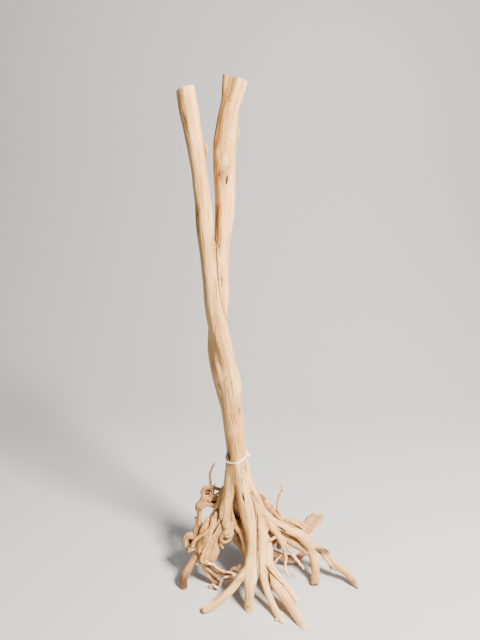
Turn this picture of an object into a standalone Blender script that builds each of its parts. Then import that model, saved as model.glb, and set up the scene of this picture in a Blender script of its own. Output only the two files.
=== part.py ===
"""Dry root: peeled wood standing on its spread roots, with a cable tie round its trunk.

Two solids: root_wood, which grew as one piece, and cable_tie, which is closed round it.
Metres, +Z up. The root stands on the plane Z = 0 and is seen from the side of -Y.

Every strand of the wood is a route of (x, y, z, radius) points, in metres from a line that
stands on the floor at the middle of the crown. A smooth curve runs through them, a round tube
follows the curve, and the tubes are fused into one body.
"""
import math

import bmesh
import bpy
import numpy as np
from mathutils import Matrix, Vector

# Driving dimensions
MIDDLE = (0.057, 0.011)        # middle of the outer box, seen from above, from the crown's line
FUSE_GRID = 0.0026             # grid on which the tubes are fused
WOOD_TRIANGLES = 7800          # size of the fused body before the rootlets join it
SAMPLES = 9                    # curve samples between two points of a route
TUBE_SIDES = 14
ROOTLET_SIDES = 6
ROOTLET_SAMPLES = 3
DOME_RINGS = ((0.5, 0.8), (0.75, 0.3))    # how far past a round end, and how wide, in radii
SOFTEN_SHARE = 0.5             # how far each smoothing round moves a point to its neighbours' mean
SOFTEN_ROUNDS = 3
FLOOR_BLOCK = 1.0              # edge of the block below the plane that the root stands on

TIE_MIDDLE = (-0.008, 0.0, 0.2605)
TIE_SLOPE_RIGHT = 0.30         # how far the tie climbs towards +X, for each metre
TIE_SLOPE_FRONT = -0.11        # how far it drops towards -Y, for each metre
TIE_WIDTH = 0.0036
TIE_THICKNESS = 0.0010
TIE_GAP = 0.0004
TIE_STEPS = 96                 # directions in which the trunk is measured for the tie
TIE_REACH = 0.6 * TIE_WIDTH    # height above and below the tie's plane that it must clear
TIE_ROUNDINGS = 3              # smoothing rounds on the tie's loop
TIE_HEAD = (0.0062, 0.0052, 0.0056)    # along the strap, away from the trunk, up
TIE_HEAD_OUT = 0.0002          # the head starts this far out from the strap's inner face
TIE_TAIL = (TIE_THICKNESS, 0.0085, 0.9 * TIE_WIDTH)
TIE_TAIL_OUT = 0.0008
TIE_TAIL_ASIDE = 0.12 * TIE_HEAD[0]
TIE_BEVEL = 0.0003
TIE_HEAD_ANGLE = math.radians(-22)
TRUNK_REACH = 0.06             # nothing but the trunk lies this near to the tie's middle
EDGE_SAMPLES = 41              # points along each of the wood's edges near the tie
SAME_POINT = 0.00002           # points nearer than this are one
WOOD_SHARP = math.radians(50)  # edges that turn more than this stay sharp
TIE_SHARP = math.radians(35)

# The two stems: they part at 0.69 m and are one trunk below
STEMS = {
    "stem_left": [
        (-.083, -.008, .905, .014), (-.078, -.008, .868, .014), (-.072, -.007, .826, .0135),
        (-.065, -.006, .773, .013), (-.060, -.005, .722, .013), (-.057, -.006, .676, .014),
        (-.051, -.007, .626, .0135), (-.046, -.007, .557, .015), (-.037, -.006, .503, .016),
        (-.025, -.004, .453, .016), (-.017, -.002, .398, .018), (-.014, 0, .338, .019),
        (-.008, 0, .271, .020), (-.003, 0, .217, .022), (0, .006, .157, .020)],
    "stem_right": [
        (.004, .030, .926, .012), (-.001, .028, .902, .012), (-.008, .026, .879, .012),
        (-.016, .024, .858, .0135), (-.021, .022, .828, .0165), (-.026, .018, .789, .018),
        (-.026, .014, .742, .017), (-.028, .011, .691, .015), (-.031, .011, .644, .0145),
        (-.036, .010, .558, .0147), (-.040, .009, .497, .016), (-.038, .007, .444, .0165),
        (-.027, .004, .387, .016), (-.015, .003, .332, .016), (-.008, .003, .265, .015)],
    "stem_right_lobe": [
        (-.018, .036, .929, .008), (-.020, .034, .900, .0083), (-.0215, .031, .877, .0085),
        (-.0275, .026, .846, .010), (-.0335, .021, .810, .010), (-.034, .016, .764, .009),
        (-.031, .012, .718, .007)],
    "knot_left_stem": [(-.063, .002, .812, .006), (-.057, .007, .808, .007), (-.061, .004, .800, .006)],
    "knot_right_stem": [(-.010, .022, .840, .006), (-.006, .022, .832, .006), (-.010, .022, .822, .006)],
}

# The crown, and the thick roots that carry the stand
ROOTS = {
    "crown": [(-.004, .002, .244, .017), (-.001, .004, .199, .022), (.002, .008, .160, .023),
              (.006, .010, .126, .017)],
    "front_main": [
        (-.007, -.004, .294, .011), (0, -.009, .234, .014), (.006, -.017, .192, .015),
        (.016, -.028, .147, .015), (.022, -.040, .119, .011), (.023, -.056, .090, .0105),
        (.020, -.070, .071, .013), (.019, -.083, .055, .014), (.019, -.092, .039, .0105),
        (.018, -.095, .021, .009), (.018, -.100, -.006, .009)],
    "front_left_toe": [
        (.017, -.072, .070, .010), (0, -.082, .053, .0075), (-.016, -.090, .036, .007),
        (-.035, -.097, .020, .007), (-.053, -.102, .011, .007), (-.064, -.105, .007, .0065)],
    "front_right": [
        (.004, -.004, .269, .009), (.013, -.009, .212, .010), (.026, -.014, .179, .010),
        (.037, -.022, .151, .0095), (.0405, -.031, .127, .0088), (.041, -.048, .098, .0085),
        (.042, -.068, .064, .0075), (.049, -.086, .036, .007), (.060, -.101, .015, .006),
        (.070, -.117, .004, .006), (.080, -.129, 0, .003)],
    "right_thick": [
        (.031, -.006, .166, .011), (.045, -.014, .111, .010), (.053, -.034, .070, .010),
        (.060, -.060, .045, .010), (.074, -.085, .031, .010), (.090, -.104, .016, .009),
        (.104, -.123, .005, .008), (.113, -.135, -.001, .006)],
    "right_short": [
        (.043, -.018, .102, .009), (.051, -.038, .066, .0075), (.066, -.055, .043, .0065),
        (.085, -.069, .026, .006), (.098, -.081, .014, .006), (.105, -.088, .006, .005)],
    "left_strand": [
        (-.017, -.002, .289, .008), (-.018, -.008, .233, .010), (-.020, -.013, .189, .012),
        (-.023, -.020, .150, .012), (-.020, -.025, .124, .010), (-.020, -.028, .111, .007)],
    "left_leg": [
        (-.027, 0, .184, .010), (-.039, -.003, .148, .009), (-.053, -.009, .114, .011),
        (-.069, -.018, .084, .012), (-.084, -.030, .065, .009), (-.0953, -.039, .0474, .008),
        (-.1037, -.0445, .0275, .008), (-.1085, -.047, .004, .008), (-.109, -.047, -.007, .008)],
    "right_root": [
        (.009, 0, .228, .010), (.018, -.004, .191, .010), (.038, -.011, .152, .010),
        (.062, -.015, .128, .009), (.089, -.016, .111, .009), (.113, -.014, .096, .009),
        (.133, -.015, .070, .010), (.144, -.023, .044, .009), (.147, -.034, .020, .008),
        (.146, -.041, .004, .009)],
    "right_root_under": [
        (.043, -.004, .133, .010), (.065, -.007, .110, .010), (.088, -.009, .088, .010),
        (.112, -.011, .070, .009), (.134, -.016, .054, .008)],
    "far_right": [
        (.123, -.014, .080, .008), (.140, -.012, .066, .0075), (.156, -.012, .059, .0075),
        (.169, -.015, .050, .007), (.180, -.022, .038, .006), (.198, -.030, .024, .006),
        (.214, -.037, .014, .006), (.222, -.044, .007, .005), (.227, -.050, .002, .003)],
    "upper_right": [
        (.012, .005, .216, .009), (.024, .011, .176, .009), (.044, .016, .144, .009),
        (.062, .019, .122, .008), (.081, .021, .102, .007), (.101, .022, .090, .0075),
        (.120, .022, .080, .0065), (.138, .022, .071, .003)],
    "upper_right_flap": [
        (.028, .017, .175, .005), (.042, .022, .155, .004), (.053, .025, .144, .0035),
        (.061, .026, .133, .003), (.070, .024, .118, .004), (.075, .022, .108, .003)],
    "upper_right_knob": [(.082, .022, .100, .005), (.090, .022, .103, .005), (.096, .022, .098, .004)],
    "right_hanging": [
        (.032, -.017, .168, .010), (.044, -.020, .146, .008), (.059, -.024, .124, .007),
        (.073, -.027, .103, .0055), (.085, -.031, .077, .004)],
    "under_middle": [
        (-.016, .004, .131, .010), (-.011, .004, .096, .009), (.001, .002, .064, .008),
        (.020, .004, .043, .0075), (.045, .008, .037, .008), (.069, .008, .027, .008),
        (.092, .006, .017, .007), (.112, .010, .013, .007), (.135, .030, .011, .005)],
    "under_front": [
        (-.020, -.006, .120, .008), (-.014, -.006, .085, .006), (.002, -.008, .063, .006),
        (.020, -.012, .050, .006)],
    "under_arch": [
        (.051, .008, .034, .006), (.056, .006, .049, .0055), (.069, .002, .064, .0055),
        (.085, -.004, .077, .006)],
    "under_left_short": [
        (-.067, -.038, .064, .008), (-.065, -.036, .032, .007), (-.054, -.039, .014, .006),
        (-.044, -.042, .004, .005)],
    "back_right": [
        (.018, .012, .189, .010), (.044, .027, .131, .009), (.075, .046, .082, .009),
        (.105, .066, .046, .010), (.132, .082, .029, .0115), (.146, .098, .020, .011)],
    "back_middle": [
        (.004, .010, .204, .012), (.010, .024, .148, .011), (.016, .050, .093, .010),
        (.018, .084, .043, .010), (.020, .116, .004, .010)],
    "back_left": [
        (-.010, .010, .199, .010), (-.018, .024, .144, .009), (-.023, .048, .090, .009),
        (-.027, .074, .046, .008), (-.030, .100, .008, .008)],
}

# Roots that tore off flat. Their tubes are squeezed to FLATTEN of their width along the
# given direction.
FLAT_ROOTS = {
    "torn_flare": [
        (-.027, -.012, .170, .0095), (-.035, -.022, .133, .0085), (-.044, -.030, .108, .010),
        (-.052, -.036, .090, .0145), (-.057, -.041, .075, .020), (-.062, -.046, .058, .0185)],
    "back_right_end": [
        (.128, .080, .030, .013), (.146, .098, .018, .015), (.158, .122, .011, .0155),
        (.169, .147, .0095, .0155)],
    "shaded_web": [
        (-.064, -.036, .043, .0085), (-.048, -.040, .031, .0085), (-.027, -.048, .030, .008),
        (-.004, -.062, .042, .0065), (.010, -.072, .050, .006)],
}
FLAT_DIRECTION = {"torn_flare": (0.25, -0.92, -0.30), "shaded_web": (0.35, -0.85, 0.40),
                  "back_right_end": (0, 0.1, 1)}
FLATTEN = 0.45

# Roots that were sawn or snapped square at their last point. All others end in a dome.
SQUARE_ENDS = ("torn_flare", "right_root", "right_short", "left_leg", "under_left_short",
               "back_right_end", "left_strand")

# The loops and knots on the left
LOOPS = {
    "loop_outer": [
        (-.029, .006, .173, .008), (-.047, .009, .160, .007), (-.065, .008, .160, .0075),
        (-.077, .004, .149, .007), (-.082, 0, .127, .006), (-.084, -.007, .103, .0065),
        (-.078, -.018, .082, .008)],
    "loop_upper": [
        (-.023, .014, .192, .008), (-.038, .018, .174, .005), (-.053, .018, .178, .0055),
        (-.066, .014, .178, .0055), (-.073, .009, .168, .005), (-.073, .006, .152, .006)],
    "loop_link": [(-.054, .017, .179, .005), (-.058, .013, .168, .0045), (-.060, .009, .159, .005)],
    "loop_lip": [
        (-.035, .002, .160, .007), (-.050, .003, .147, .005), (-.064, .004, .145, .0055),
        (-.073, .005, .151, .006)],
    "loop_inner": [
        (-.029, -.004, .174, .008), (-.041, -.006, .155, .007), (-.053, -.009, .132, .006),
        (-.063, -.013, .110, .0065), (-.070, -.018, .089, .008)],
    "left_knob": [
        (-.076, -.016, .084, .008), (-.091, -.013, .089, .007), (-.104, -.013, .089, .006),
        (-.109, -.016, .080, .006), (-.106, -.020, .069, .005), (-.101, -.023, .063, .003)],
}

# Rootlets thinner than the fusing grid: each starts well inside what it grows from
ROOTLETS = {
    "rootlet_left_up": [
        (-.057, .017, .176, .0035), (-.058, .017, .194, .0026), (-.058, .017, .210, .0023),
        (-.054, .018, .222, .0022), (-.049, .018, .233, .0014)],
    "rootlet_right_up": [
        (.089, .021, .098, .003), (.081, .018, .112, .0027), (.074, .016, .131, .0025),
        (.074, .015, .146, .0023), (.078, .015, .161, .0023), (.082, .014, .178, .0023),
        (.082, .014, .190, .0022), (.076, .014, .197, .002), (.072, .014, .209, .0013)],
    "hanging_long": [
        (.083, -.030, .082, .004), (.089, -.035, .057, .003), (.088, -.041, .039, .0026),
        (.095, -.048, .024, .0016)],
    "hanging_short": [
        (.073, -.027, .101, .005), (.091, -.029, .077, .0036), (.108, -.033, .055, .003),
        (.122, -.039, .037, .002)],
    "hanging_stub": [(.073, -.026, .105, .004), (.060, -.031, .098, .003), (.051, -.035, .094, .0022)],
    "string_upper": [
        (.018, -.066, .070, .004), (-.004, -.056, .038, .003), (-.017, -.046, .030, .0023),
        (-.031, -.038, .026, .0022), (-.047, -.034, .033, .0023), (-.062, -.036, .055, .0035)],
    "string_lower": [
        (.014, -.078, .062, .004), (-.004, -.064, .037, .0027), (-.021, -.054, .027, .0024),
        (-.033, -.051, .018, .0024), (-.040, -.054, .008, .0028), (-.050, -.052, .005, .004),
        (-.060, -.050, .005, .003)],
    "far_right_spur": [(.168, -.016, .047, .003), (.176, -.020, .029, .0023), (.181, -.022, .016, .0014)],
    "front_right_spur": [(.073, -.117, .007, .0045), (.064, -.121, .002, .002)],
    "left_leg_shoot": [(-.070, -.024, .087, .004), (-.084, -.030, .078, .003), (-.098, -.036, .072, .0016)],
    "small_ring": [
        (-.020, -.023, .114, .0045), (-.017, -.020, .093, .0035), (-.026, -.014, .077, .0035),
        (-.039, -.008, .066, .0035), (-.052, -.012, .074, .003)],
    "whisker_left": [(-.078, .004, .122, .003), (-.094, .002, .116, .0013), (-.106, .001, .108, .0009)],
    "whisker_flap": [(.058, .026, .134, .0025), (.063, .027, .142, .0012), (.065, .028, .148, .0009)],
    "whisker_right": [(.130, -.008, .076, .003), (.143, 0, .084, .0016), (.151, .004, .090, .001)],
    "whisker_thick": [(.063, -.046, .053, .003), (.073, -.042, .062, .0016), (.079, -.038, .067, .001)],
}

# The stems' cuts: a point on each cut, and the direction that its face looks
STEM_CUTS = {
    "left": ((-.081, -.008, .890), (-0.27, 0.06, 0.96)),
    "right": ((-.007, .030, .911), (0.33, 0.05, 0.94)),
}
CUT_BLOCK = 0.09               # edge of the block that takes a stem's end away


def clear_scene():
    """Empty the file, so that the script can be run again from the text editor."""
    for obj in list(bpy.data.objects):
        bpy.data.objects.remove(obj, do_unlink=True)


def material(name, colour, roughness):
    mat = bpy.data.materials.new(name)
    mat.use_nodes = True
    shader = mat.node_tree.nodes["Principled BSDF"]
    shader.inputs["Base Color"].default_value = (*colour, 1)
    shader.inputs["Roughness"].default_value = roughness
    shader.inputs["Metallic"].default_value = 0
    return mat


def smooth_route(points, samples):
    """A curve through the points: between two points it leaves each one in the direction
    from the point before to the point after (Catmull and Rom's rule)."""
    points = np.array(points, float)
    ends = np.vstack([2 * points[0] - points[1], points, 2 * points[-1] - points[-2]])
    t = np.linspace(0, 1, samples, endpoint=False)[:, None]
    pieces = []
    for i in range(len(points) - 1):
        a, b, c, d = ends[i:i + 4]
        pieces.append(b + 0.5 * t * (c - a + t * (2 * a - 5 * b + 4 * c - d + t * (3 * b - a - 3 * c + d))))
    return np.vstack(pieces + [points[-1:]])


def dome(end, inner):
    """The rings past the end of a route that close it roundly."""
    way = end[:3] - inner[:3]
    way = way / np.linalg.norm(way)
    return [np.append(end[:3] + way * end[3] * out, end[3] * size)
            for out, size in DOME_RINGS]


def with_ends(route, square):
    """The route with a dome before its start, and one after its end unless that is square."""
    rows = dome(route[0], route[1])[::-1] + list(route)
    return np.array(rows if square else rows + dome(route[-1], route[-2]))


def add_tube(bm, points, sides, samples=SAMPLES, flat=None, square=False):
    """Carry a circle of the route's radius along the route, and close both ends. The circle's
    frame is turned as little as possible from one ring to the next."""
    route = with_ends(smooth_route(points, samples), square)
    centres = [Vector(row[:3]) for row in route]
    across = None
    rings = []
    for i, centre in enumerate(centres):
        ahead = (centres[min(i + 1, len(centres) - 1)] - centres[max(i - 1, 0)]).normalized()
        if across is None:
            across = ahead.orthogonal().normalized()
        across = (across - ahead * across.dot(ahead)).normalized()
        up = ahead.cross(across)
        ring = []
        for k in range(sides):
            angle = 2 * math.pi * k / sides
            out = (across * math.cos(angle) + up * math.sin(angle)) * route[i][3]
            if flat is not None:
                out -= flat * out.dot(flat) * (1 - FLATTEN)
            ring.append(bm.verts.new(centre + out))
        rings.append(ring)
    for low, high in zip(rings, rings[1:]):
        for k in range(sides):
            n = (k + 1) % sides
            bm.faces.new((low[k], low[n], high[n], high[k]))
    bm.faces.new(list(reversed(rings[0])))
    bm.faces.new(rings[-1])


def object_from(name, bm, collection):
    """Put a bmesh into a new object of the collection."""
    mesh = bpy.data.meshes.new(name)
    bm.to_mesh(mesh)
    bm.free()
    obj = bpy.data.objects.new(name, mesh)
    collection.objects.link(obj)
    return obj


def wood_object(name, bm, collection):
    """Put a bmesh into a new object, moved so that the outer box has its middle on the Z axis."""
    bmesh.ops.translate(bm, verts=bm.verts, vec=(-MIDDLE[0], -MIDDLE[1], 0))
    return object_from(name, bm, collection)


def apply_modifiers(obj):
    """Replace the object's mesh by the one that its modifiers make."""
    bpy.context.view_layer.update()
    result = bpy.data.meshes.new_from_object(obj.evaluated_get(bpy.context.evaluated_depsgraph_get()))
    obj.modifiers.clear()
    old = obj.data
    obj.data = result
    bpy.data.meshes.remove(old)


def fused_strands():
    """Fuse the thick strands: their tubes on one grid, smoothed, with the flat parts thinned out."""
    bm = bmesh.new()
    for group in (STEMS, ROOTS, LOOPS):
        for name, points in group.items():
            add_tube(bm, points, TUBE_SIDES, square=name in SQUARE_ENDS)
    for name, points in FLAT_ROOTS.items():
        flat = Vector(FLAT_DIRECTION[name]).normalized()
        add_tube(bm, points, TUBE_SIDES, flat=flat, square=name in SQUARE_ENDS)
    wood = wood_object("root_wood", bm, bpy.context.scene.collection)
    remesh = wood.modifiers.new("fuse", "REMESH")
    remesh.mode = "VOXEL"
    remesh.voxel_size = FUSE_GRID
    smooth = wood.modifiers.new("soften", "SMOOTH")
    smooth.factor = SOFTEN_SHARE
    smooth.iterations = SOFTEN_ROUNDS
    apply_modifiers(wood)
    triangles = sum(len(face.vertices) - 2 for face in wood.data.polygons)
    thin = wood.modifiers.new("thin_out", "DECIMATE")
    thin.ratio = WOOD_TRIANGLES / triangles
    apply_modifiers(wood)
    return wood


def join_rootlets(wood):
    """Join the thin rootlets to the wood with one Boolean union on their collection."""
    collection = bpy.data.collections.new("rootlets")
    bpy.context.scene.collection.children.link(collection)
    for name, points in ROOTLETS.items():
        bm = bmesh.new()
        add_tube(bm, points, ROOTLET_SIDES, samples=ROOTLET_SAMPLES)
        wood_object(name, bm, collection)
    union = wood.modifiers.new("join_rootlets", "BOOLEAN")
    union.operation = "UNION"
    union.operand_type = "COLLECTION"
    union.collection = collection
    apply_modifiers(wood)
    remove_collection(collection)


def remove_collection(collection):
    for obj in list(collection.objects):
        bpy.data.objects.remove(obj, do_unlink=True)
    bpy.data.collections.remove(collection)


def block(name, size, turn, place, collection):
    """A cube whose lower face has its middle at the place and looks against the turned Z axis."""
    bm = bmesh.new()
    bmesh.ops.create_cube(bm, size=size)
    bmesh.ops.translate(bm, verts=bm.verts, vec=(0, 0, size / 2))
    bmesh.ops.transform(bm, matrix=Matrix.Translation(place) @ turn.to_4x4(), verts=bm.verts)
    return wood_object(name, bm, collection)


def cut_ends(wood):
    """Saw the two stems, and trim every foot flat on the plane that the root stands on."""
    collection = bpy.data.collections.new("cutters")
    bpy.context.scene.collection.children.link(collection)
    for name, (place, facing) in STEM_CUTS.items():
        turn = Vector((0, 0, 1)).rotation_difference(Vector(facing)).to_matrix()
        block("saw_" + name, CUT_BLOCK, turn, place, collection)
    floor_turned_down = Matrix.Rotation(math.pi, 3, "X")
    block("floor", FLOOR_BLOCK, floor_turned_down, (0, 0, 0), collection)
    cut = wood.modifiers.new("cut_ends", "BOOLEAN")
    cut.operation = "DIFFERENCE"
    cut.operand_type = "COLLECTION"
    cut.collection = collection
    apply_modifiers(wood)
    remove_collection(collection)


def tie_frame():
    """The tie's own axes: two in its plane, and the plane's normal."""
    right = Vector((1, 0, TIE_SLOPE_RIGHT)).normalized()
    normal = right.cross(Vector((0, 1, -TIE_SLOPE_FRONT))).normalized()
    return right, normal.cross(right), normal


def trunk_outline(wood, origin, axes):
    """The smallest loop, without hollows, round the trunk near the tie's plane: for each
    direction, how far the wood reaches from the tie's middle (a support function)."""
    right, back, normal = (np.array(axis) for axis in axes)
    points = np.array([vert.co for vert in wood.data.vertices]) - np.array(origin)
    edges = np.array([edge.vertices for edge in wood.data.edges])
    ends = points[edges]
    near = ends[np.linalg.norm(ends, axis=2).min(axis=1) < TRUNK_REACH]
    share = np.linspace(0, 1, EDGE_SAMPLES)[:, None, None]
    along = (near[:, 0] * (1 - share) + near[:, 1] * share).reshape(-1, 3)
    along = along[np.abs(along @ normal) < TIE_REACH]
    angles = np.linspace(0, 2 * np.pi, TIE_STEPS, endpoint=False)
    ways = np.outer(np.cos(angles), right) + np.outer(np.sin(angles), back)
    return angles, (along @ ways.T).max(axis=0)


def loop_points(angles, reach, distance):
    """The loop whose support function is reach + distance: a point's place is its reach along
    the direction, plus the reach's rate of change across it."""
    reach = reach + distance
    step = angles[1] - angles[0]
    rate = (np.roll(reach, -1) - np.roll(reach, 1)) / (2 * step)
    return np.stack([reach * np.cos(angles) - rate * np.sin(angles),
                     reach * np.sin(angles) + rate * np.cos(angles)], axis=1)


def softened(reach):
    """Round the loop's corners: a mean over neighbours that never falls inside the wood."""
    smooth = reach.copy()
    for _ in range(TIE_ROUNDINGS):
        smooth = (np.roll(smooth, 1) + 2 * smooth + np.roll(smooth, -1)) / 4
    return smooth + (reach - smooth).max()


def make_strap(inner, outer, place):
    """The strap: a thin rectangle between the two loops, half its width up and half down."""
    half = TIE_WIDTH / 2
    bm = bmesh.new()
    rings = []
    for a, b in zip(inner, outer):
        corners = (place(a, -half), place(b, -half), place(b, half), place(a, half))
        rings.append([bm.verts.new(corner) for corner in corners])
    for low, high in zip(rings, rings[1:] + rings[:1]):
        for k in range(4):
            n = (k + 1) % 4
            bm.faces.new((low[k], low[n], high[n], high[k]))
    bmesh.ops.recalc_face_normals(bm, faces=bm.faces)
    return bm


def bevelled_block(size, middle, turn, face):
    """A block of the head or the tail: its middle lies out from a point on the strap's face."""
    bm = bmesh.new()
    bmesh.ops.create_cube(bm, size=1)
    bmesh.ops.scale(bm, vec=size, verts=bm.verts)
    bmesh.ops.bevel(bm, geom=bm.edges[:], offset=TIE_BEVEL, segments=1, affect="EDGES")
    place = Matrix.Translation(face + turn @ Vector(middle)) @ turn.to_4x4()
    bmesh.ops.transform(bm, matrix=place, verts=bm.verts)
    return bm


def make_tie(wood):
    """A flat strap closed round the trunk, with a head block and a snipped tail."""
    origin = Vector(TIE_MIDDLE) - Vector((*MIDDLE, 0))
    axes = tie_frame()
    right, back, normal = axes
    angles, reach = trunk_outline(wood, origin, axes)
    reach = softened(reach)
    inner = loop_points(angles, reach, TIE_GAP)
    outer = loop_points(angles, reach, TIE_GAP + TIE_THICKNESS)

    def place(flat, height):
        return origin + right * float(flat[0]) + back * float(flat[1]) + normal * height
    tie = object_from("cable_tie", make_strap(inner, outer, place), bpy.context.scene.collection)

    head_at = round((TIE_HEAD_ANGLE % math.tau) / math.tau * len(angles)) % len(angles)
    way = right * math.cos(angles[head_at]) + back * math.sin(angles[head_at])
    turn = Matrix((normal.cross(way), way, normal)).transposed()
    face = place(inner[head_at], 0)
    head_middle = (0, TIE_HEAD[1] / 2 + TIE_HEAD_OUT, 0)
    tail_middle = (TIE_TAIL_ASIDE, TIE_TAIL[1] / 2 + TIE_TAIL_OUT, 0)
    collection = bpy.data.collections.new("tie_ends")
    bpy.context.scene.collection.children.link(collection)
    for name, size, middle in (("head", TIE_HEAD, head_middle), ("tail", TIE_TAIL, tail_middle)):
        object_from(name, bevelled_block(size, middle, turn, face), collection)
    union = tie.modifiers.new("join_ends", "BOOLEAN")
    union.operation = "UNION"
    union.operand_type = "COLLECTION"
    union.collection = collection
    apply_modifiers(tie)
    remove_collection(collection)
    return tie


def finish(obj, mat, smooth_angle):
    """Join points that fall together, shade round, and give the material."""
    bm = bmesh.new()
    bm.from_mesh(obj.data)
    bmesh.ops.remove_doubles(bm, verts=bm.verts, dist=SAME_POINT)
    bmesh.ops.triangulate(bm, faces=bm.faces)
    bm.to_mesh(obj.data)
    bm.free()
    obj.data.materials.clear()
    obj.data.materials.append(mat)
    obj.data.shade_smooth()
    obj.data.set_sharp_from_angle(angle=smooth_angle)


def main():
    clear_scene()
    wood = fused_strands()
    join_rootlets(wood)
    cut_ends(wood)
    tie = make_tie(wood)
    finish(wood, material("peeled_wood", (0.80, 0.60, 0.40), 0.75), WOOD_SHARP)
    finish(tie, material("white_nylon", (0.88, 0.88, 0.86), 0.35), TIE_SHARP)


main()
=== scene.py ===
# %% [markdown]
# # A dry root
# This root was dug up, peeled and dried. Two sawn stems rise from one trunk, and the trunk
# spreads at its foot into a stand of legs, loops and thin rootlets. A white cable tie is
# closed round the trunk. The frame gives the solid that the part was designed as. The
# cells below grow a finer one in the same place, and then give it the colours of the wood.
# %% Load the frame
import math

import bmesh
import bpy
import numpy as np
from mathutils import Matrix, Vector


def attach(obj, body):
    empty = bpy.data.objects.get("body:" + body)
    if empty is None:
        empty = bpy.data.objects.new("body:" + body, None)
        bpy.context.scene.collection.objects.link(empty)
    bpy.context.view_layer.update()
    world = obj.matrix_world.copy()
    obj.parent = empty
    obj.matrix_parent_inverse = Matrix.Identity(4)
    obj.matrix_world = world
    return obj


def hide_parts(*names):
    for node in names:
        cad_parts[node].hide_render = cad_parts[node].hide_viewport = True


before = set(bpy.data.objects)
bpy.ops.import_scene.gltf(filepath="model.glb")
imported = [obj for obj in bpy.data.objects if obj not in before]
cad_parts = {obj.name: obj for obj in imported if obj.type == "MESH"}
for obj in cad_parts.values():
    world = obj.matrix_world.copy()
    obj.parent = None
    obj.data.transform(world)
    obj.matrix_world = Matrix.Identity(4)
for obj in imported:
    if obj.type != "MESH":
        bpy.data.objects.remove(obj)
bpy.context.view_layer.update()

print("pieces of the frame:", sorted(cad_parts))

# %% [markdown]
# The camera stands where the photograph was taken from: 0.80 m in front of the trunk and
# 0.76 m above the surface, looking down a little. The tables below measure everything from
# a line that stands on the floor at the middle of the crown, and the part's own middle
# lies beside that line.
# %% Camera
MIDDLE = np.array([0.057, 0.011, 0.0])     # the part's middle, from the crown's line
EYE_BACK = 0.80
EYE_HEIGHT = 0.756
EYE_DROP = math.radians(16.1)              # how far the view looks down
FOCAL_MM = 27.06
SENSOR_MM = 36

camera = bpy.data.objects.new("camera", bpy.data.cameras.new("camera"))
camera.data.sensor_width = SENSOR_MM
camera.data.lens = FOCAL_MM
camera.location = (-MIDDLE[0], -EYE_BACK - MIDDLE[1], EYE_HEIGHT)
camera.rotation_euler = (math.pi / 2 - EYE_DROP, 0, 0)
bpy.context.scene.collection.objects.link(camera)
bpy.context.scene.camera = camera
print("camera at", [round(v, 3) for v in camera.location])

# %% [markdown]
# A root is a bundle of strands. Each strand is a short list of points: x, y, z and the
# strand's radius there, in metres. A strand thins, swells and turns as its points say. The
# places were picked on the photograph, and the metres of many of them were worked out
# beforehand with the camera's formula. The last small strands are still listed as the places
# that were picked, and from_photo turns those into metres here.
# %% Routes of the stems and roots
# The two stems: they part at 0.69 m and are one trunk below
STEMS = {
    "stem_left": [
        (-.083, -.008, .905, .014), (-.078, -.008, .868, .014), (-.072, -.007, .826, .0135),
        (-.065, -.006, .773, .013), (-.060, -.005, .722, .013), (-.057, -.006, .676, .014),
        (-.051, -.007, .626, .0135), (-.046, -.007, .557, .015), (-.037, -.006, .503, .016),
        (-.025, -.004, .453, .016), (-.017, -.002, .398, .018), (-.014, 0, .338, .019),
        (-.008, 0, .271, .020), (-.003, 0, .217, .022), (0, .006, .157, .020)],
    "stem_right": [
        (.004, .030, .926, .012), (-.001, .028, .902, .012), (-.008, .026, .879, .012),
        (-.016, .024, .858, .0135), (-.021, .022, .828, .0165), (-.026, .018, .789, .018),
        (-.026, .014, .742, .017), (-.028, .011, .691, .015), (-.031, .011, .644, .0145),
        (-.036, .010, .558, .0147), (-.040, .009, .497, .016), (-.038, .007, .444, .0165),
        (-.027, .004, .387, .016), (-.015, .003, .332, .016), (-.008, .003, .265, .015)],
    "stem_right_lobe": [
        (-.018, .036, .929, .008), (-.020, .034, .900, .0083), (-.0215, .031, .877, .0085),
        (-.0275, .026, .846, .010), (-.0335, .021, .810, .010), (-.034, .016, .764, .009),
        (-.031, .012, .718, .007)],
    "knot_left_stem": [
        (-.0640, .004, .817, .005), (-.0600, .013, .808, .0062), (-.0590, .015, .797, .0058),
        (-.0600, .011, .783, .0045)],
    "knot_right_stem": [
        (-.0120, .022, .868, .0048), (-.0080, .021, .848, .0044), (-.0030, .021, .834, .0034),
        (-.0080, .022, .820, .0050)],
}

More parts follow.
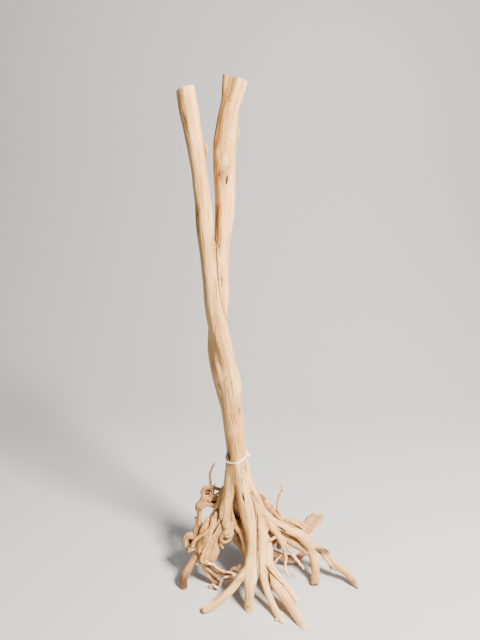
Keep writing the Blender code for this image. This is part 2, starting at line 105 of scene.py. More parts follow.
# The crown, and the thick roots that carry the stand
ROOTS = {
    "crown": [(-.004, .002, .244, .017), (-.001, .004, .199, .022), (.002, .008, .160, .023),
              (.006, .010, .126, .017)],
    "front_main": [
        (-.007, -.004, .294, .011), (0, -.009, .234, .014), (.006, -.017, .192, .015),
        (.016, -.028, .147, .015), (.022, -.040, .119, .011), (.023, -.056, .090, .0105),
        (.020, -.070, .071, .013), (.019, -.083, .055, .014), (.019, -.092, .039, .0105),
        (.018, -.095, .021, .009), (.018, -.100, -.006, .009)],
    "front_left_toe": [
        (.017, -.072, .070, .010), (0, -.082, .053, .0075), (-.016, -.090, .036, .007),
        (-.035, -.097, .020, .007), (-.053, -.102, .011, .007), (-.064, -.105, .007, .0065)],
    "front_right": [
        (.004, -.004, .269, .009), (.013, -.009, .212, .010), (.026, -.014, .179, .010),
        (.037, -.022, .151, .0095), (.0405, -.031, .127, .0088), (.041, -.048, .098, .0085),
        (.042, -.068, .064, .0075), (.049, -.086, .036, .007), (.060, -.101, .015, .006),
        (.070, -.117, .004, .006), (.080, -.129, 0, .003)],
    "right_thick": [
        (.031, -.006, .166, .011), (.045, -.014, .111, .010), (.053, -.034, .070, .010),
        (.060, -.060, .045, .010), (.074, -.085, .031, .010), (.090, -.104, .016, .009),
        (.104, -.123, .005, .008), (.113, -.135, -.001, .006)],
    "right_short": [
        (.043, -.018, .102, .009), (.051, -.038, .066, .0075), (.066, -.055, .043, .0065),
        (.085, -.069, .026, .006), (.098, -.081, .014, .006), (.105, -.088, .006, .005)],
    "left_strand": [
        (-.017, -.002, .289, .008), (-.018, -.008, .233, .010), (-.0215, -.013, .189, .0112),
        (-.0260, -.020, .150, .0098), (-.0240, -.025, .124, .0088), (-.0215, -.028, .111, .007)],
    "left_leg": [
        (-.027, 0, .184, .010), (-.039, -.003, .148, .009), (-.053, -.009, .114, .011),
        (-.069, -.018, .084, .012), (-.084, -.030, .065, .009), (-.0953, -.039, .0474, .008),
        (-.1037, -.0445, .0275, .008), (-.1085, -.047, .004, .008), (-.109, -.047, -.007, .008)],
    "right_root": [
        (.009, 0, .228, .010), (.018, -.004, .191, .010), (.038, -.011, .152, .010),
        (.062, -.015, .128, .009), (.089, -.016, .111, .009), (.113, -.014, .096, .009),
        (.133, -.015, .070, .010), (.144, -.023, .044, .009), (.147, -.034, .020, .008),
        (.146, -.041, .004, .009)],
    "right_root_under": [
        (.043, -.004, .133, .010), (.065, -.007, .110, .010), (.088, -.009, .088, .010),
        (.112, -.011, .070, .009), (.134, -.016, .054, .008)],
    "far_right": [
        (.123, -.014, .080, .008), (.140, -.012, .066, .0075), (.156, -.012, .059, .0075),
        (.169, -.015, .050, .007), (.180, -.022, .038, .006), (.198, -.030, .024, .006),
        (.214, -.037, .014, .006), (.222, -.044, .007, .005), (.227, -.050, .002, .003)],
    "upper_right": [
        (.012, .005, .216, .009), (.024, .011, .176, .009), (.044, .016, .144, .009),
        (.062, .019, .122, .008), (.081, .021, .102, .0068), (.101, .022, .090, .0056),
        (.115, .022, .083, .0036), (.126, .022, .077, .0018)],
    "upper_right_flap": [
        (.028, .017, .175, .005), (.042, .022, .155, .004), (.053, .025, .144, .0035),
        (.061, .026, .133, .003), (.070, .024, .118, .004), (.075, .022, .108, .003)],
    "upper_right_knob": [(.082, .022, .100, .005), (.090, .022, .103, .005), (.096, .022, .098, .004)],
    "right_hanging": [
        (.032, -.017, .168, .010), (.044, -.020, .146, .008), (.059, -.024, .124, .007),
        (.073, -.027, .103, .0055), (.085, -.031, .077, .004)],
    "under_middle": [
        (-.016, .004, .131, .010), (-.011, .004, .096, .009), (.001, .002, .064, .008),
        (.020, .004, .043, .0075), (.045, .008, .037, .008), (.069, .008, .027, .008),
        (.092, .006, .017, .007), (.112, .010, .013, .007), (.135, .030, .011, .005)],
    "under_front": [
        (-.020, -.006, .120, .008), (-.014, -.006, .085, .006), (.002, -.008, .063, .006),
        (.020, -.012, .050, .006)],
    "under_arch": [
        (.051, .008, .034, .006), (.056, .006, .049, .0055), (.069, .002, .064, .0055),
        (.085, -.004, .077, .006)],
    "under_left_short": [
        (-.067, -.038, .064, .008), (-.065, -.036, .032, .007), (-.054, -.039, .014, .006),
        (-.044, -.042, .004, .005)],
    "back_right": [
        (.018, .012, .189, .010), (.044, .027, .131, .009), (.075, .046, .082, .009),
        (.105, .066, .042, .010), (.124, .075, .024, .0105), (.137, .084, .015, .010)],
    "back_middle": [
        (.004, .010, .204, .012), (.010, .024, .148, .011), (.016, .050, .093, .010),
        (.018, .084, .043, .010), (.020, .116, .004, .010)],
    "back_left": [
        (-.010, .010, .199, .010), (-.018, .024, .144, .009), (-.023, .048, .090, .009),
        (-.027, .074, .046, .008), (-.030, .100, .008, .008)],
}

# Smaller strands that the solid leaves out: they lie on the large ones or between them
DETAILS = {
    "stem_fill": [
        (-.0100, .0325, .925, .0090), (-.0115, .0325, .902, .0095), (-.0150, .0290, .878, .0105),
        (-.0215, .0245, .848, .0120)],
    "stem_node": [
        (-.0200, .0125, .812, .0095), (-.0235, .0092, .792, .0120), (-.0290, .0088, .776, .0130),
        (-.0335, .0112, .760, .0112), (-.0320, .0140, .744, .0080)],
    "trunk_fill": [
        (-.0402, .0060, .668, .0036), (-.0402, .0040, .648, .0082), (-.0412, .0030, .620, .0110),
        (-.0415, .0020, .580, .0125),
        (-.0405, .0015, .545, .0135), (-.0390, .0000, .503, .0142), (-.0337, .0000, .455, .0150),
        (-.0240, -.0005, .402, .0155), (-.0150, .0005, .350, .0155)],
    "left_strand_split": [
        (-.0225, -.006, .2100, .004), (-.0285, -.013, .1830, .0055), (-.0333, -.022, .1534, .0062),
        (-.0300, -.026, .1342, .0056), (-.0268, -.028, .1199, .0042)],
    "small_ring": [
        (-.0150, -.024, .1260, .005), (-.0190, -.029, .1200, .0046), (-.0247, -.032, .1173, .0042),
        (-.0313, -.034, .1140, .0044), (-.0347, -.034, .1060, .0038), (-.0328, -.033, .0966, .0042),
        (-.0270, -.032, .0935, .0048), (-.0196, -.029, .0985, .0042), (-.0160, -.027, .1075, .0046)],
    "small_curl": [
        (-.0150, -.026, .1220, .0042), (-.0165, -.031, .1150, .0040), (-.0190, -.036, .1105, .0034),
        (-.0245, -.037, .1089, .0036), (-.0284, -.037, .1129, .0030), (-.0262, -.037, .1175, .0030),
        (-.0215, -.036, .1160, .0026)],
    "small_hook": [
        (-.0325, -.033, .0990, .0036), (-.0346, -.033, .0925, .0034), (-.0364, -.034, .0861, .0030),
        (-.0335, -.034, .0800, .0022)],
    "loop_pit": [(-.0735, .018, .1650, .0050), (-.0655, .020, .1660, .0058), (-.0590, .019, .1650, .0050)],
    "loop_knot": [
        (-.0565, .016, .1765, .0042), (-.0550, .014, .1690, .0046), (-.0560, .011, .1625, .0048),
        (-.0600, .007, .1570, .0046)],
    "loop_slot": [(-.0700, .013, .1480, .0045), (-.0550, .015, .1470, .0050), (-.0380, .013, .1485, .0050)],
    "window_left": [
        (-.0145, -.004, .2100, .004), (-.0172, -.010, .1845, .0046), (-.0172, -.016, .1600, .0038),
        (-.0150, -.018, .1436, .0038), (-.0078, -.022, .1241, .005), (.0005, -.028, .1108, .0056),
        (.0080, -.037, .0934, .0056), (.0142, -.048, .0733, .005), (.0170, -.058, .0595, .004)],
    "window_inner": [
        (-.0040, .004, .1700, .0070), (-.0050, .002, .1500, .0065), (-.0050, .002, .1330, .0060),
        (-.0020, .004, .1190, .0080), (-.0020, -.001, .1009, .0090), (.0020, -.008, .0800, .0090),
        (.0098, -.020, .0621, .0080)],
    "knob_inner": [
        (-.0900, -.004, .0840, .0050), (-.0975, -.003, .0785, .0056), (-.0990, -.006, .0700, .0055)],
    "upper_tip": [
        (.0950, .020, .0985, .0034), (.1110, .019, .0930, .0033), (.1233, .018, .0855, .0027),
        (.1317, .018, .0780, .0019), (.1390, .018, .0715, .0010)],
    "upper_tip_low": [
        (.0920, .018, .0930, .0034), (.1070, .015, .0865, .0033), (.1188, .014, .0770, .0027),
        (.1263, .014, .0685, .0018), (.1316, .014, .0607, .0010)],
    "upper_tip_back": [
        (.0980, .022, .0980, .0032), (.1125, .023, .0950, .0031), (.1262, .025, .0875, .0026),
        (.1380, .028, .0766, .0018), (.1471, .030, .0659, .0010)],
}
SEEN_DETAILS = {       # small strands picked: across and down in the photo, how far back, radius
    "window_floor": [
        (236, 522, -.014, .005), (240, 525, -.014, .005), (243, 528, -.016, .005)],
    "middle_low": [
        (233, 531, -.016, .006), (238, 540, -.018, .006), (243, 550, -.024, .006),
        (247, 562, -.036, .005)],
    "leg_lump": [
        (216, 514, -.016, .006), (212.5, 524, -.021, .0065), (208, 534, -.027, .0085),
        (204, 541, -.031, .0095), (201, 546, -.034, .008)],
    "leg_lump_left": [
        (208, 520, -.014, .005), (204, 528, -.02, .006), (200.5, 536, -.026, .0065),
        (198.5, 544, -.031, .006), (196.5, 551, -.034, .005)],
    "leg_cross": [
        (208, 531, -.03, .0035), (204, 534.5, -.033, .0035), (196.5, 539.5, -.036, .0034),
        (192.4, 545.8, -.037, .0036), (188.8, 551.4, -.037, .0026)],
    "flare_lip": [
        (208, 541, -.036, .005), (203.5, 546, -.039, .006), (200.8, 549.5, -.041, .0055),
        (200.2, 553.5, -.043, .0035)],
    "flare_beak": [
        (207, 561.8, -.05, .0032), (202.5, 562.2, -.05, .0032), (199.5, 563.6, -.05, .003),
        (197.6, 564, -.05, .002)],
    "right_inner": [
        (265, 517, .004, .006), (268, 524, .002, .0065), (271, 531, .001, .007),
        (271.5, 538, .002, .007), (268.5, 545, .004, .007), (265, 552, .006, .007)],
    "right_inner_low": [
        (274, 527, .01, .005), (278.5, 534, .012, .006), (281, 541, .012, .006),
        (279, 547, .012, .0055)],
    "flap_edge": [
        (256.5, 491, .014, .004), (260, 494.5, .016, .0035), (264.5, 498, .018, .0032),
        (268.5, 501.5, .02, .003), (270.8, 504.6, .02, .0024)],
    "flap_plate": [
        (266.5, 502, .01, .004), (269.5, 506, .01, .0048), (272.5, 510.5, .012, .005),
        (275.5, 514.3, .014, .0035)],
    "flap_floor": [
        (258.5, 497, .008, .006), (263, 501.5, .01, .006), (267, 506, .01, .006),
        (271, 511, .012, .006)],
    "elbow_top": [
        (322, 549, -.01, .004), (325.5, 551, -.012, .004), (327.8, 554.5, -.014, .0035),
        (328.5, 558, -.016, .0028)],
    "elbow_ridge": [
        (322, 554, -.02, .0035), (326, 559, -.024, .0035), (331, 565, -.028, .0035),
        (336, 570, -.03, .003)],
}
PHOTO_SIZE = (480, 640)
PHOTO_FOCAL = FOCAL_MM / SENSOR_MM * PHOTO_SIZE[1]


def from_photo(across, down, back, radius=0.0):
    """The point seen at a place in the photo, a given way behind the crown's line: from the
    eye along that place's ray, until it is that far back."""
    right, low = ((v - size / 2) / PHOTO_FOCAL for v, size in zip((across, down), PHOTO_SIZE))
    forward = math.cos(EYE_DROP) - low * math.sin(EYE_DROP)
    drop = math.sin(EYE_DROP) + low * math.cos(EYE_DROP)
    reach = (EYE_BACK + back) / forward
    return right * reach, back, EYE_HEIGHT - drop * reach, radius


DETAILS |= {name: [from_photo(*row) for row in rows] for name, rows in SEEN_DETAILS.items()}

# Roots that tore off flat. Each is made of blades that lie side by side.
FLAT_ROOTS = {
    "torn_flare": [
        (-.027, -.012, .170, .0095), (-.035, -.022, .133, .0085), (-.044, -.030, .108, .010),
        (-.052, -.036, .090, .0145), (-.057, -.041, .075, .0195), (-.062, -.046, .058, .0180)],
    "back_right_end": [
        (.120, .072, .024, .0110), (.134, .080, .0145, .0140), (.151, .102, .0110, .0155),
        (.167, .124, .0120, .0160), (.179, .143, .0140, .0160)],
    "shaded_web": [
        (-.064, -.036, .043, .0085), (-.048, -.040, .031, .0085), (-.027, -.048, .030, .008),
        (-.004, -.062, .042, .0065), (.010, -.072, .050, .006)],
}
BLADES = {       # how many blades, the way the flat root faces, and how unevenly they end
    "torn_flare": (8, (0.25, -0.92, -0.30), 0.35), "back_right_end": (11, (0, 0.1, 1), 0.36),
    "shaded_web": (4, (0.35, -0.85, 0.40), 0.10),
}

# Roots that were sawn or snapped square at their last point. All others end in a dome.
SQUARE_ENDS = ("torn_flare", "right_root", "right_short", "left_leg", "under_left_short",
               "back_right_end", "left_strand")

# The loops and knots on the left
LOOPS = {
    "loop_outer": [
        (-.029, .006, .170, .0070), (-.040, .009, .1605, .0046), (-.052, .010, .1585, .0038),
        (-.064, .009, .1590, .0043), (-.0730, .006, .155, .0056), (-.079, .003, .143, .0064),
        (-.082, 0, .127, .006), (-.084, -.007, .103, .0065), (-.078, -.018, .082, .008)],
    "loop_upper": [
        (-.0230, .014, .1830, .0070), (-.0310, .015, .1760, .0046), (-.0380, .016, .1738, .0036),
        (-.0473, .017, .1762, .0034), (-.0560, .017, .1785, .0040), (-.0640, .015, .1775, .0044),
        (-.0705, .011, .1720, .0047), (-.0735, .007, .1640, .0052), (-.0745, .006, .1530, .0055)],
    "loop_lip": [
        (-.035, .002, .155, .0062), (-.046, .004, .1478, .0048), (-.058, .005, .1462, .0048),
        (-.069, .005, .1475, .0050), (-.078, .003, .143, .0055)],
    "loop_inner": [
        (-.029, -.004, .174, .008), (-.041, -.006, .155, .007), (-.053, -.009, .132, .006),
        (-.063, -.013, .110, .0065), (-.070, -.018, .089, .008)],
    "left_knob": [
        (-.076, -.016, .0860, .0080), (-.090, -.013, .0912, .0066), (-.1000, -.013, .0922, .0059),
        (-.1065, -.015, .0880, .0058), (-.1085, -.017, .0800, .0062), (-.1055, -.020, .0705, .0062),
        (-.0990, -.023, .0640, .0045)],
}

# Rootlets thinner than the fusing grid: each starts well inside what it grows from
ROOTLETS = {
    "rootlet_left_up": [
        (-.057, .017, .176, .0035), (-.058, .017, .194, .0026), (-.058, .017, .210, .0023),
        (-.054, .018, .222, .0022), (-.049, .018, .233, .0014)],
    "rootlet_right_up": [
        (.089, .021, .098, .003), (.081, .018, .112, .0027), (.074, .016, .131, .0025),
        (.074, .015, .146, .0023), (.078, .015, .161, .0023), (.082, .014, .178, .0023),
        (.082, .014, .190, .0022), (.076, .014, .197, .002), (.072, .014, .209, .0013)],
    "hanging_long": [
        (.083, -.030, .082, .004), (.089, -.035, .057, .003), (.088, -.041, .039, .0026),
        (.095, -.048, .024, .0016)],
    "hanging_short": [
        (.073, -.027, .101, .005), (.091, -.029, .077, .0036), (.108, -.033, .055, .003),
        (.122, -.039, .037, .002)],
    "hanging_stub": [(.073, -.026, .105, .004), (.060, -.031, .098, .003), (.051, -.035, .094, .0022)],
    "string_upper": [
        (.004, -.076, .056, .004), (-.0056, -.070, .048, .0036), (-.0103, -.068, .0493, .0034),
        (-.0169, -.064, .0494, .0020), (-.0265, -.058, .0457, .0017), (-.0362, -.052, .0446, .0017),
        (-.0449, -.048, .0483, .0019), (-.0554, -.046, .0532, .0026), (-.0649, -.046, .0569, .004)],
    "string_lower": [
        (.004, -.078, .055, .004), (-.0056, -.072, .050, .0035), (-.0122, -.068, .0452, .0026),
        (-.0208, -.062, .0391, .0019), (-.0275, -.060, .0360, .0018), (-.0338, -.058, .0284, .0019),
        (-.0374, -.057, .0190, .0020), (-.0402, -.056, .0097, .0023), (-.0441, -.056, .0071, .0023),
        (-.0490, -.054, .0098, .0022), (-.0523, -.052, .0102, .0022), (-.0579, -.050, .0060, .0024),
        (-.0588, -.050, .0032, .0025), (-.0522, -.050, .0030, .0024), (-.0464, -.050, .0039, .0018)],
    "web_shred": [
        (-.0056, -.070, .0457, .003), (-.0132, -.064, .0364, .0032), (-.0229, -.056, .0251, .003),
        (-.0308, -.050, .0180, .002)],
    "web_tangle": [
        (.008, -.064, .068, .003), (0, -.060, .0614, .0032), (-.0075, -.058, .0549, .0032),
        (-.0151, -.056, .0496, .0028), (-.0190, -.056, .0449, .002)],
    "vertical_sliver": [
        (.0559, -.024, .1348, .0035), (.0518, -.029, .1230, .0024), (.0506, -.034, .1113, .0021),
        (.0499, -.040, .1005, .002), (.0510, -.046, .0898, .0024)],
    "far_right_spur": [(.168, -.016, .047, .003), (.176, -.020, .029, .0023), (.181, -.022, .016, .0014)],
    "front_right_spur": [(.073, -.117, .007, .0045), (.064, -.121, .002, .002)],
    "left_leg_shoot": [(-.070, -.024, .087, .004), (-.084, -.030, .078, .003), (-.098, -.036, .072, .0016)],
    "loop_twig": [(-.0500, .010, .1640, .003), (-.0461, .012, .1656, .0022), (-.0413, .014, .1685, .002),
                  (-.0350, .014, .1672, .002)],
    "loop_spike": [(-.0545, .016, .1740, .004), (-.0503, .018, .1800, .0022), (-.0488, .018, .1840, .0012)],
    "whisker_left": [(-.078, .004, .122, .003), (-.094, .002, .116, .0013), (-.106, .001, .108, .0009)],
    "whisker_flap": [(.058, .026, .134, .0025), (.063, .027, .142, .0012), (.065, .028, .148, .0009)],
    "whisker_right": [(.130, -.008, .076, .003), (.143, 0, .084, .0016), (.151, .004, .090, .001)],
    "whisker_thick": [(.063, -.046, .053, .003), (.073, -.042, .062, .0016), (.079, -.038, .067, .001)],
}

# The stems' cuts: a point on each cut, and the direction that its face looks
STEM_CUTS = {
    "left": ((-.081, -.008, .890), (-0.27, 0.06, 0.96)),
    "right": ((-.007, .030, .911), (0.33, 0.05, 0.94)),
}
routes = len(STEMS) + len(ROOTS) + len(DETAILS) + len(FLAT_ROOTS) + len(LOOPS)
print(routes, "thick strands and", len(ROOTLETS), "rootlets")

# %% [markdown]
# Nothing on a root is even, so noise is needed in many places below. It has a fixed number
# at each corner of a lattice and blends them smoothly between. The same place gives the same
# value on every run.
# %% Noise on a lattice
def lattice_value(corner, seed):
    """A fixed number from -1 to 1 for each lattice corner, from its three whole numbers."""
    mixed = corner @ np.array([374761393, 668265263, 1440662683]) + seed * 1274126177
    mixed = ((mixed ^ (mixed >> 13)) & 0x7FFFFFFF) * 1103515245
    mixed = (mixed ^ (mixed >> 16)) & 0xFFFF
    return mixed / 32767.5 - 1


def noise(points, size, seed):
    """Smooth noise from -1 to 1: the values at the eight corners of the point's cell, blended
    with 3t2 - 2t3. The cell measures size, which may differ in its three directions."""
    scaled = points / np.array(size)
    low = np.floor(scaled).astype(np.int64)
    t = scaled - low
    t = t * t * (3 - 2 * t)
    total = np.zeros(len(points))
    for corner in np.ndindex(2, 2, 2):
        corner = np.array(corner)
        share = np.where(corner == 1, t, 1 - t).prod(axis=1)
        total += share * lattice_value(low + corner, seed)
    return total


def ease(value, low, high):
    """0 below low, 1 above high, and a smooth step between."""
    t = np.clip((value - low) / (high - low), 0, 1)
    return t * t * (3 - 2 * t)
print("noise at a place:", round(float(noise(np.array([[0.3, 0.4, 0.5]]), (1, 1, 1), 1)[0]), 3))

# %% [markdown]
# A smooth curve runs through each route. It leaves every point in the direction from the
# point before to the point after, which is Catmull and Rom's rule. The curve is then cut
# into steps of equal length. Wood fibres run along a strand, so each step also carries a
# small frame of two directions across the strand and the length grown so far. A strand
# takes its first frame and length from the strand it grows out of, and then the fibres of
# both run on into each other. Its line also strays a little and its radius swells, and both
# do so most where the root is rough.
# %% Smooth curves with a frame that follows the fibres
STEP = 0.0015
LOOSE_FROM = 0.014                         # a strand's ends stay put over this length
STRAY_LEAST, STRAY_ROUGH = 0.07, 0.55      # how far the line strays, as a share of the radius
SWELL_LEAST, SWELL_ROUGH = 0.05, 0.22
ROUGH = {                                  # how rough each strand is, from 0 to 1
    "loop_outer": 0.9, "loop_upper": 1.0, "loop_pit": 0.8, "loop_knot": 1.0, "loop_slot": 0.8,
    "small_ring": 0.9, "small_curl": 0.9, "small_hook": 0.6, "loop_lip": 0.8, "loop_inner": 0.7,
    "left_knob": 0.9, "knob_inner": 0.9, "leg_lump": 0.9, "leg_lump_left": 1.0, "leg_cross": 0.5,
    "left_leg": 0.45, "torn_flare": 0.35, "flare_lip": 0.6, "flare_beak": 0.6,
    "under_left_short": 0.6, "shaded_web": 0.7, "left_strand_split": 0.25, "middle_low": 0.5,
    "under_middle": 0.4, "under_arch": 0.5, "right_inner": 0.7, "right_inner_low": 0.7,
    "flap_edge": 0.8, "flap_plate": 0.5, "flap_floor": 0.8, "upper_right_flap": 0.7,
    "upper_right": 0.3, "upper_right_knob": 0.5, "upper_tip": 0.15, "upper_tip_low": 0.15,
    "upper_tip_back": 0.15, "far_right": 0.45, "elbow_top": 0.8, "elbow_ridge": 0.6,
    "right_root": 0.2, "right_root_under": 0.35, "window_inner": 0.5, "window_floor": 0.6,
    "window_left": 0.3, "front_right": 0.2, "right_thick": 0.2, "front_left_toe": 0.15,
    "back_middle": 0.3, "back_left": 0.35, "back_right": 0.2, "back_right_end": 0.10,
    "knot_left_stem": 0.6, "knot_right_stem": 0.5, "stem_node": 0.4, "stem_left": 0.10,
    "stem_right": 0.10, "front_main": 0.08, "left_strand": 0.15, "crown": 0.1,
}


def smooth_route(points, samples=14):
    """Between points b and c, with neighbours a and d: b + t(c-a)/2 + t2(2a-5b+4c-d)/2 +
    t3(3b-a-3c+d)/2, for t from 0 to 1."""
    points = np.array(points, float)
    ends = np.vstack([2 * points[0] - points[1], points, 2 * points[-1] - points[-2]])
    t = np.linspace(0, 1, samples, endpoint=False)[None, :, None]
    a, b, c, d = (ends[i:len(ends) - 3 + i, None, :] for i in range(4))
    curve = b + 0.5 * t * (c - a + t * (2 * a - 5 * b + 4 * c - d + t * (3 * b - a - 3 * c + d)))
    return np.vstack([curve.reshape(-1, 4), points[-1:]])


def length_along(route):
    """The length from the route's start to each of its points."""
    return np.append(0, np.cumsum(np.linalg.norm(np.diff(route[:, :3], axis=0), axis=1)))


def even_steps(route, step):
    """The route read again at equal steps of its own length."""
    length = length_along(route)
    places = np.linspace(0, length[-1], max(int(length[-1] / step), 4) + 1)
    return np.stack([np.interp(places, length, route[:, k]) for k in range(4)], axis=1), places


def unit(vectors):
    return vectors / np.maximum(np.linalg.norm(vectors, axis=-1, keepdims=True), 1e-12)


def carry_across(ahead, first):
    """Carry a direction along the strand, turned as little as possible from step to step."""
    across = np.empty_like(ahead)
    now = first
    for i, way in enumerate(ahead):
        now = now - way * (now @ way)
        now = now / np.linalg.norm(now)
        across[i] = now
    return across


def grow(points, parents, step=STEP, start=None, rough=0.0):
    """A strand: its middle line, radius, directions and grown length, step by step. Its line
    strays by noise times its radius, and its radius is 1 + noise times what was given."""
    route, length = even_steps(smooth_route(points), step)
    centres = route[:, :3] - MIDDLE
    ahead = unit(np.gradient(centres, axis=0))
    first, grown = np.array([1.0, 0, 0]), -points[0][2]
    if parents and start is None:
        gaps = [np.linalg.norm(p["centres"] - centres[0], axis=1) for p in parents]
        nearest = int(np.argmin([gap.min() for gap in gaps]))
        place = int(gaps[nearest].argmin())
        first = parents[nearest]["across"][place]
        grown = parents[nearest]["grown"][place]
    across = carry_across(ahead, first)
    aside = np.cross(ahead, across)
    run = np.stack([length / route[:, 3].mean(), np.full(len(length), grown + centres[0, 0]) * 300,
                    length * 0], axis=1)
    loose = ease(length, 0, LOOSE_FROM) * ease(length[-1] - length, 0, LOOSE_FROM)
    stray = (STRAY_LEAST + STRAY_ROUGH * rough) * route[:, 3] * loose
    centres = centres + stray[:, None] * (across * noise(run, (3.3, 1, 1), 41)[:, None]
                                          + aside * noise(run, (2.9, 1, 1), 42)[:, None])
    swell = (SWELL_LEAST + SWELL_ROUGH * rough) * noise(run, (2.6, 1, 1), 43) * loose
    return {"centres": centres, "radius": route[:, 3] * (1 + swell), "ahead": ahead, "across": across,
            "aside": aside, "grown": grown + length, "length": length, "step": length[1]}


def blades(points, count, facing, ragged, seed):
    """A flat root as blades side by side: middle + side u (r - b) + facing v b, where u goes
    from -1 to 1, b is a blade's radius and v a seeded draw. Each stops short by its own draw."""
    chance = np.random.default_rng(seed)
    points = np.array(points, float)
    facing = unit(np.array(facing, float))
    side = unit(np.cross(unit(np.gradient(points[:, :3], axis=0)), facing))
    thick = np.maximum(points[:, 3] * 1.45 / count, 0.0024)
    lines = []
    for u in np.linspace(-1, 1, count):
        line = points.copy()
        line[:, :3] += side * (u * (points[:, 3] - thick))[:, None]
        line[:, :3] += facing * (chance.uniform(-0.6, 0.6) * thick)[:, None]
        line[:, 3] = thick * chance.uniform(0.85, 1.2)
        line[-1, :3] -= ragged * chance.uniform(0, 1) * (line[-1, :3] - line[-2, :3])
        lines.append(line)
    return lines


strands = {}
for table in (STEMS, ROOTS, LOOPS, DETAILS):
    for name, points in table.items():
        start = 0 if table is STEMS else None
        strands[name] = grow(points, list(strands.values()), start=start, rough=ROUGH.get(name, 0))
        strands[name]["kind"] = name
for seed, (name, points) in enumerate(FLAT_ROOTS.items()):
    for number, line in enumerate(blades(points, *BLADES[name], seed + 3)):
        strand = grow(line, list(strands.values()), rough=ROUGH.get(name, 0))
        strands[name + "_" + str(number)] = strand | {"kind": name}
print(len(strands), "strands,", round(sum(s["length"][-1] for s in strands.values()), 2), "m of wood")

# %% [markdown]
# Every strand becomes a tube: a circle of the strand's radius is carried along its middle
# line. The tubes overlap, and a fine grid fuses them into a skin, as the strands of the
# real root are fused. That skin is even and closed, so the relief can then be worked into
# it point by point. The tangles on the left and on the right have much finer parts than the
# trunk, so they are skins of their own on a finer grid, and they start deep in the trunk.
# %% Tubes, and the fused skins
SIDES = 26
DOME = np.array([(0.35, 0.92), (0.62, 0.74), (0.80, 0.48), (0.88, 0.2)])   # past an end: how far, how wide
LEFT_TANGLE = (
    "loop_outer", "loop_upper", "loop_lip", "loop_inner", "loop_pit", "loop_knot", "loop_slot",
    "left_knob", "knob_inner", "left_leg", "leg_lump", "leg_lump_left", "leg_cross", "torn_flare",
    "flare_lip", "flare_beak", "small_ring", "small_curl", "small_hook", "under_left_short", "shaded_web")
RIGHT_TANGLE = (
    "upper_right", "upper_right_flap", "upper_right_knob", "upper_tip", "upper_tip_low",
    "upper_tip_back", "flap_edge", "flap_plate", "flap_floor", "back_right", "back_right_end",
    "right_inner", "right_inner_low", "far_right", "elbow_top", "elbow_ridge")
PIECES = {       # the fusing grid, and how many triangles to keep
    "root_wood_fine": (0.0012, 126000), "left_tangle": (0.0009, 150000), "right_tangle": (0.0009, 146000),
}


def piece_of(kind):
    """Which piece of wood a strand belongs to."""
    if kind in LEFT_TANGLE:
        return "left_tangle"
    return "right_tangle" if kind in RIGHT_TANGLE else "root_wood_fine"


def tube_rings(strand, sides, square=False, taper=DOME):
    """Rings of points: middle + radius (across cos a + aside sin a), with round ends."""
    def cap(end, way):
        out = strand["centres"][end] + way * strand["radius"][end] * taper[:, :1]
        return out, strand["radius"][end] * taper[:, 1]
    low, low_radius = cap(0, -strand["ahead"][0])
    high, high_radius = cap(-1, strand["ahead"][-1])
    keep = 0 if square else len(taper)
    centres = np.vstack([low[::-1], strand["centres"], high[:keep]])
    radius = np.concatenate([low_radius[::-1], strand["radius"], high_radius[:keep]])
    ends = (len(taper), keep)
    across = np.pad(strand["across"], (ends, (0, 0)), mode="edge")
    aside = np.pad(strand["aside"], (ends, (0, 0)), mode="edge")
    angle = np.linspace(0, 2 * np.pi, sides, endpoint=False)[None, :, None]
    out = (across[:, None] * np.cos(angle) + aside[:, None] * np.sin(angle)) * radius[:, None, None]
    return centres[:, None] + out


def ring_faces(rings, sides, first=0):
    """Quads between neighbouring rings, and one face on each end."""
    place = np.arange(rings * sides).reshape(rings, sides) + first
    turn = np.roll(place, -1, axis=1)
    quads = np.stack([place[:-1], turn[:-1], turn[1:], place[1:]], axis=-1).reshape(-1, 4)
    return quads.tolist() + [place[0][::-1].tolist(), place[-1].tolist()]


def mesh_from(name, points, faces):
    mesh = bpy.data.meshes.new(name)
    mesh.from_pydata(np.asarray(points, float).tolist(), [], faces)
    mesh.validate()
    obj = bpy.data.objects.new(name, mesh)
    bpy.context.scene.collection.objects.link(obj)
    return obj


def joined(parts):
    """Several (points, faces) as one pair."""
    points, faces, first = [], [], 0
    for some, turns in parts:
        points.append(some)
        faces.extend([[k + first for k in face] for face in turns])
        first += len(some)
    return np.vstack(points), faces


def apply_modifiers(obj):
    """Replace the object's mesh by the one that its modifiers make."""
    bpy.context.view_layer.update()
    done = bpy.data.meshes.new_from_object(obj.evaluated_get(bpy.context.evaluated_depsgraph_get()))
    obj.modifiers.clear()
    obj.data = done


def fused(name, grid):
    """The tubes of one piece's strands, fused on a grid."""
    tubes = []
    for strand in strands.values():
        if piece_of(strand["kind"]) == name:
            rings = tube_rings(strand, SIDES, strand["kind"] in SQUARE_ENDS)
            tubes.append((rings.reshape(-1, 3), ring_faces(len(rings), SIDES)))
    wood = mesh_from(name, *joined(tubes))
    fuse = wood.modifiers.new("fuse", "REMESH")
    fuse.mode = "VOXEL"
    fuse.voxel_size = grid
    apply_modifiers(wood)
    print(name, "fused:", len(wood.data.vertices), "points")
    return wood


woods = {name: fused(name, grid) for name, (grid, _) in PIECES.items()}

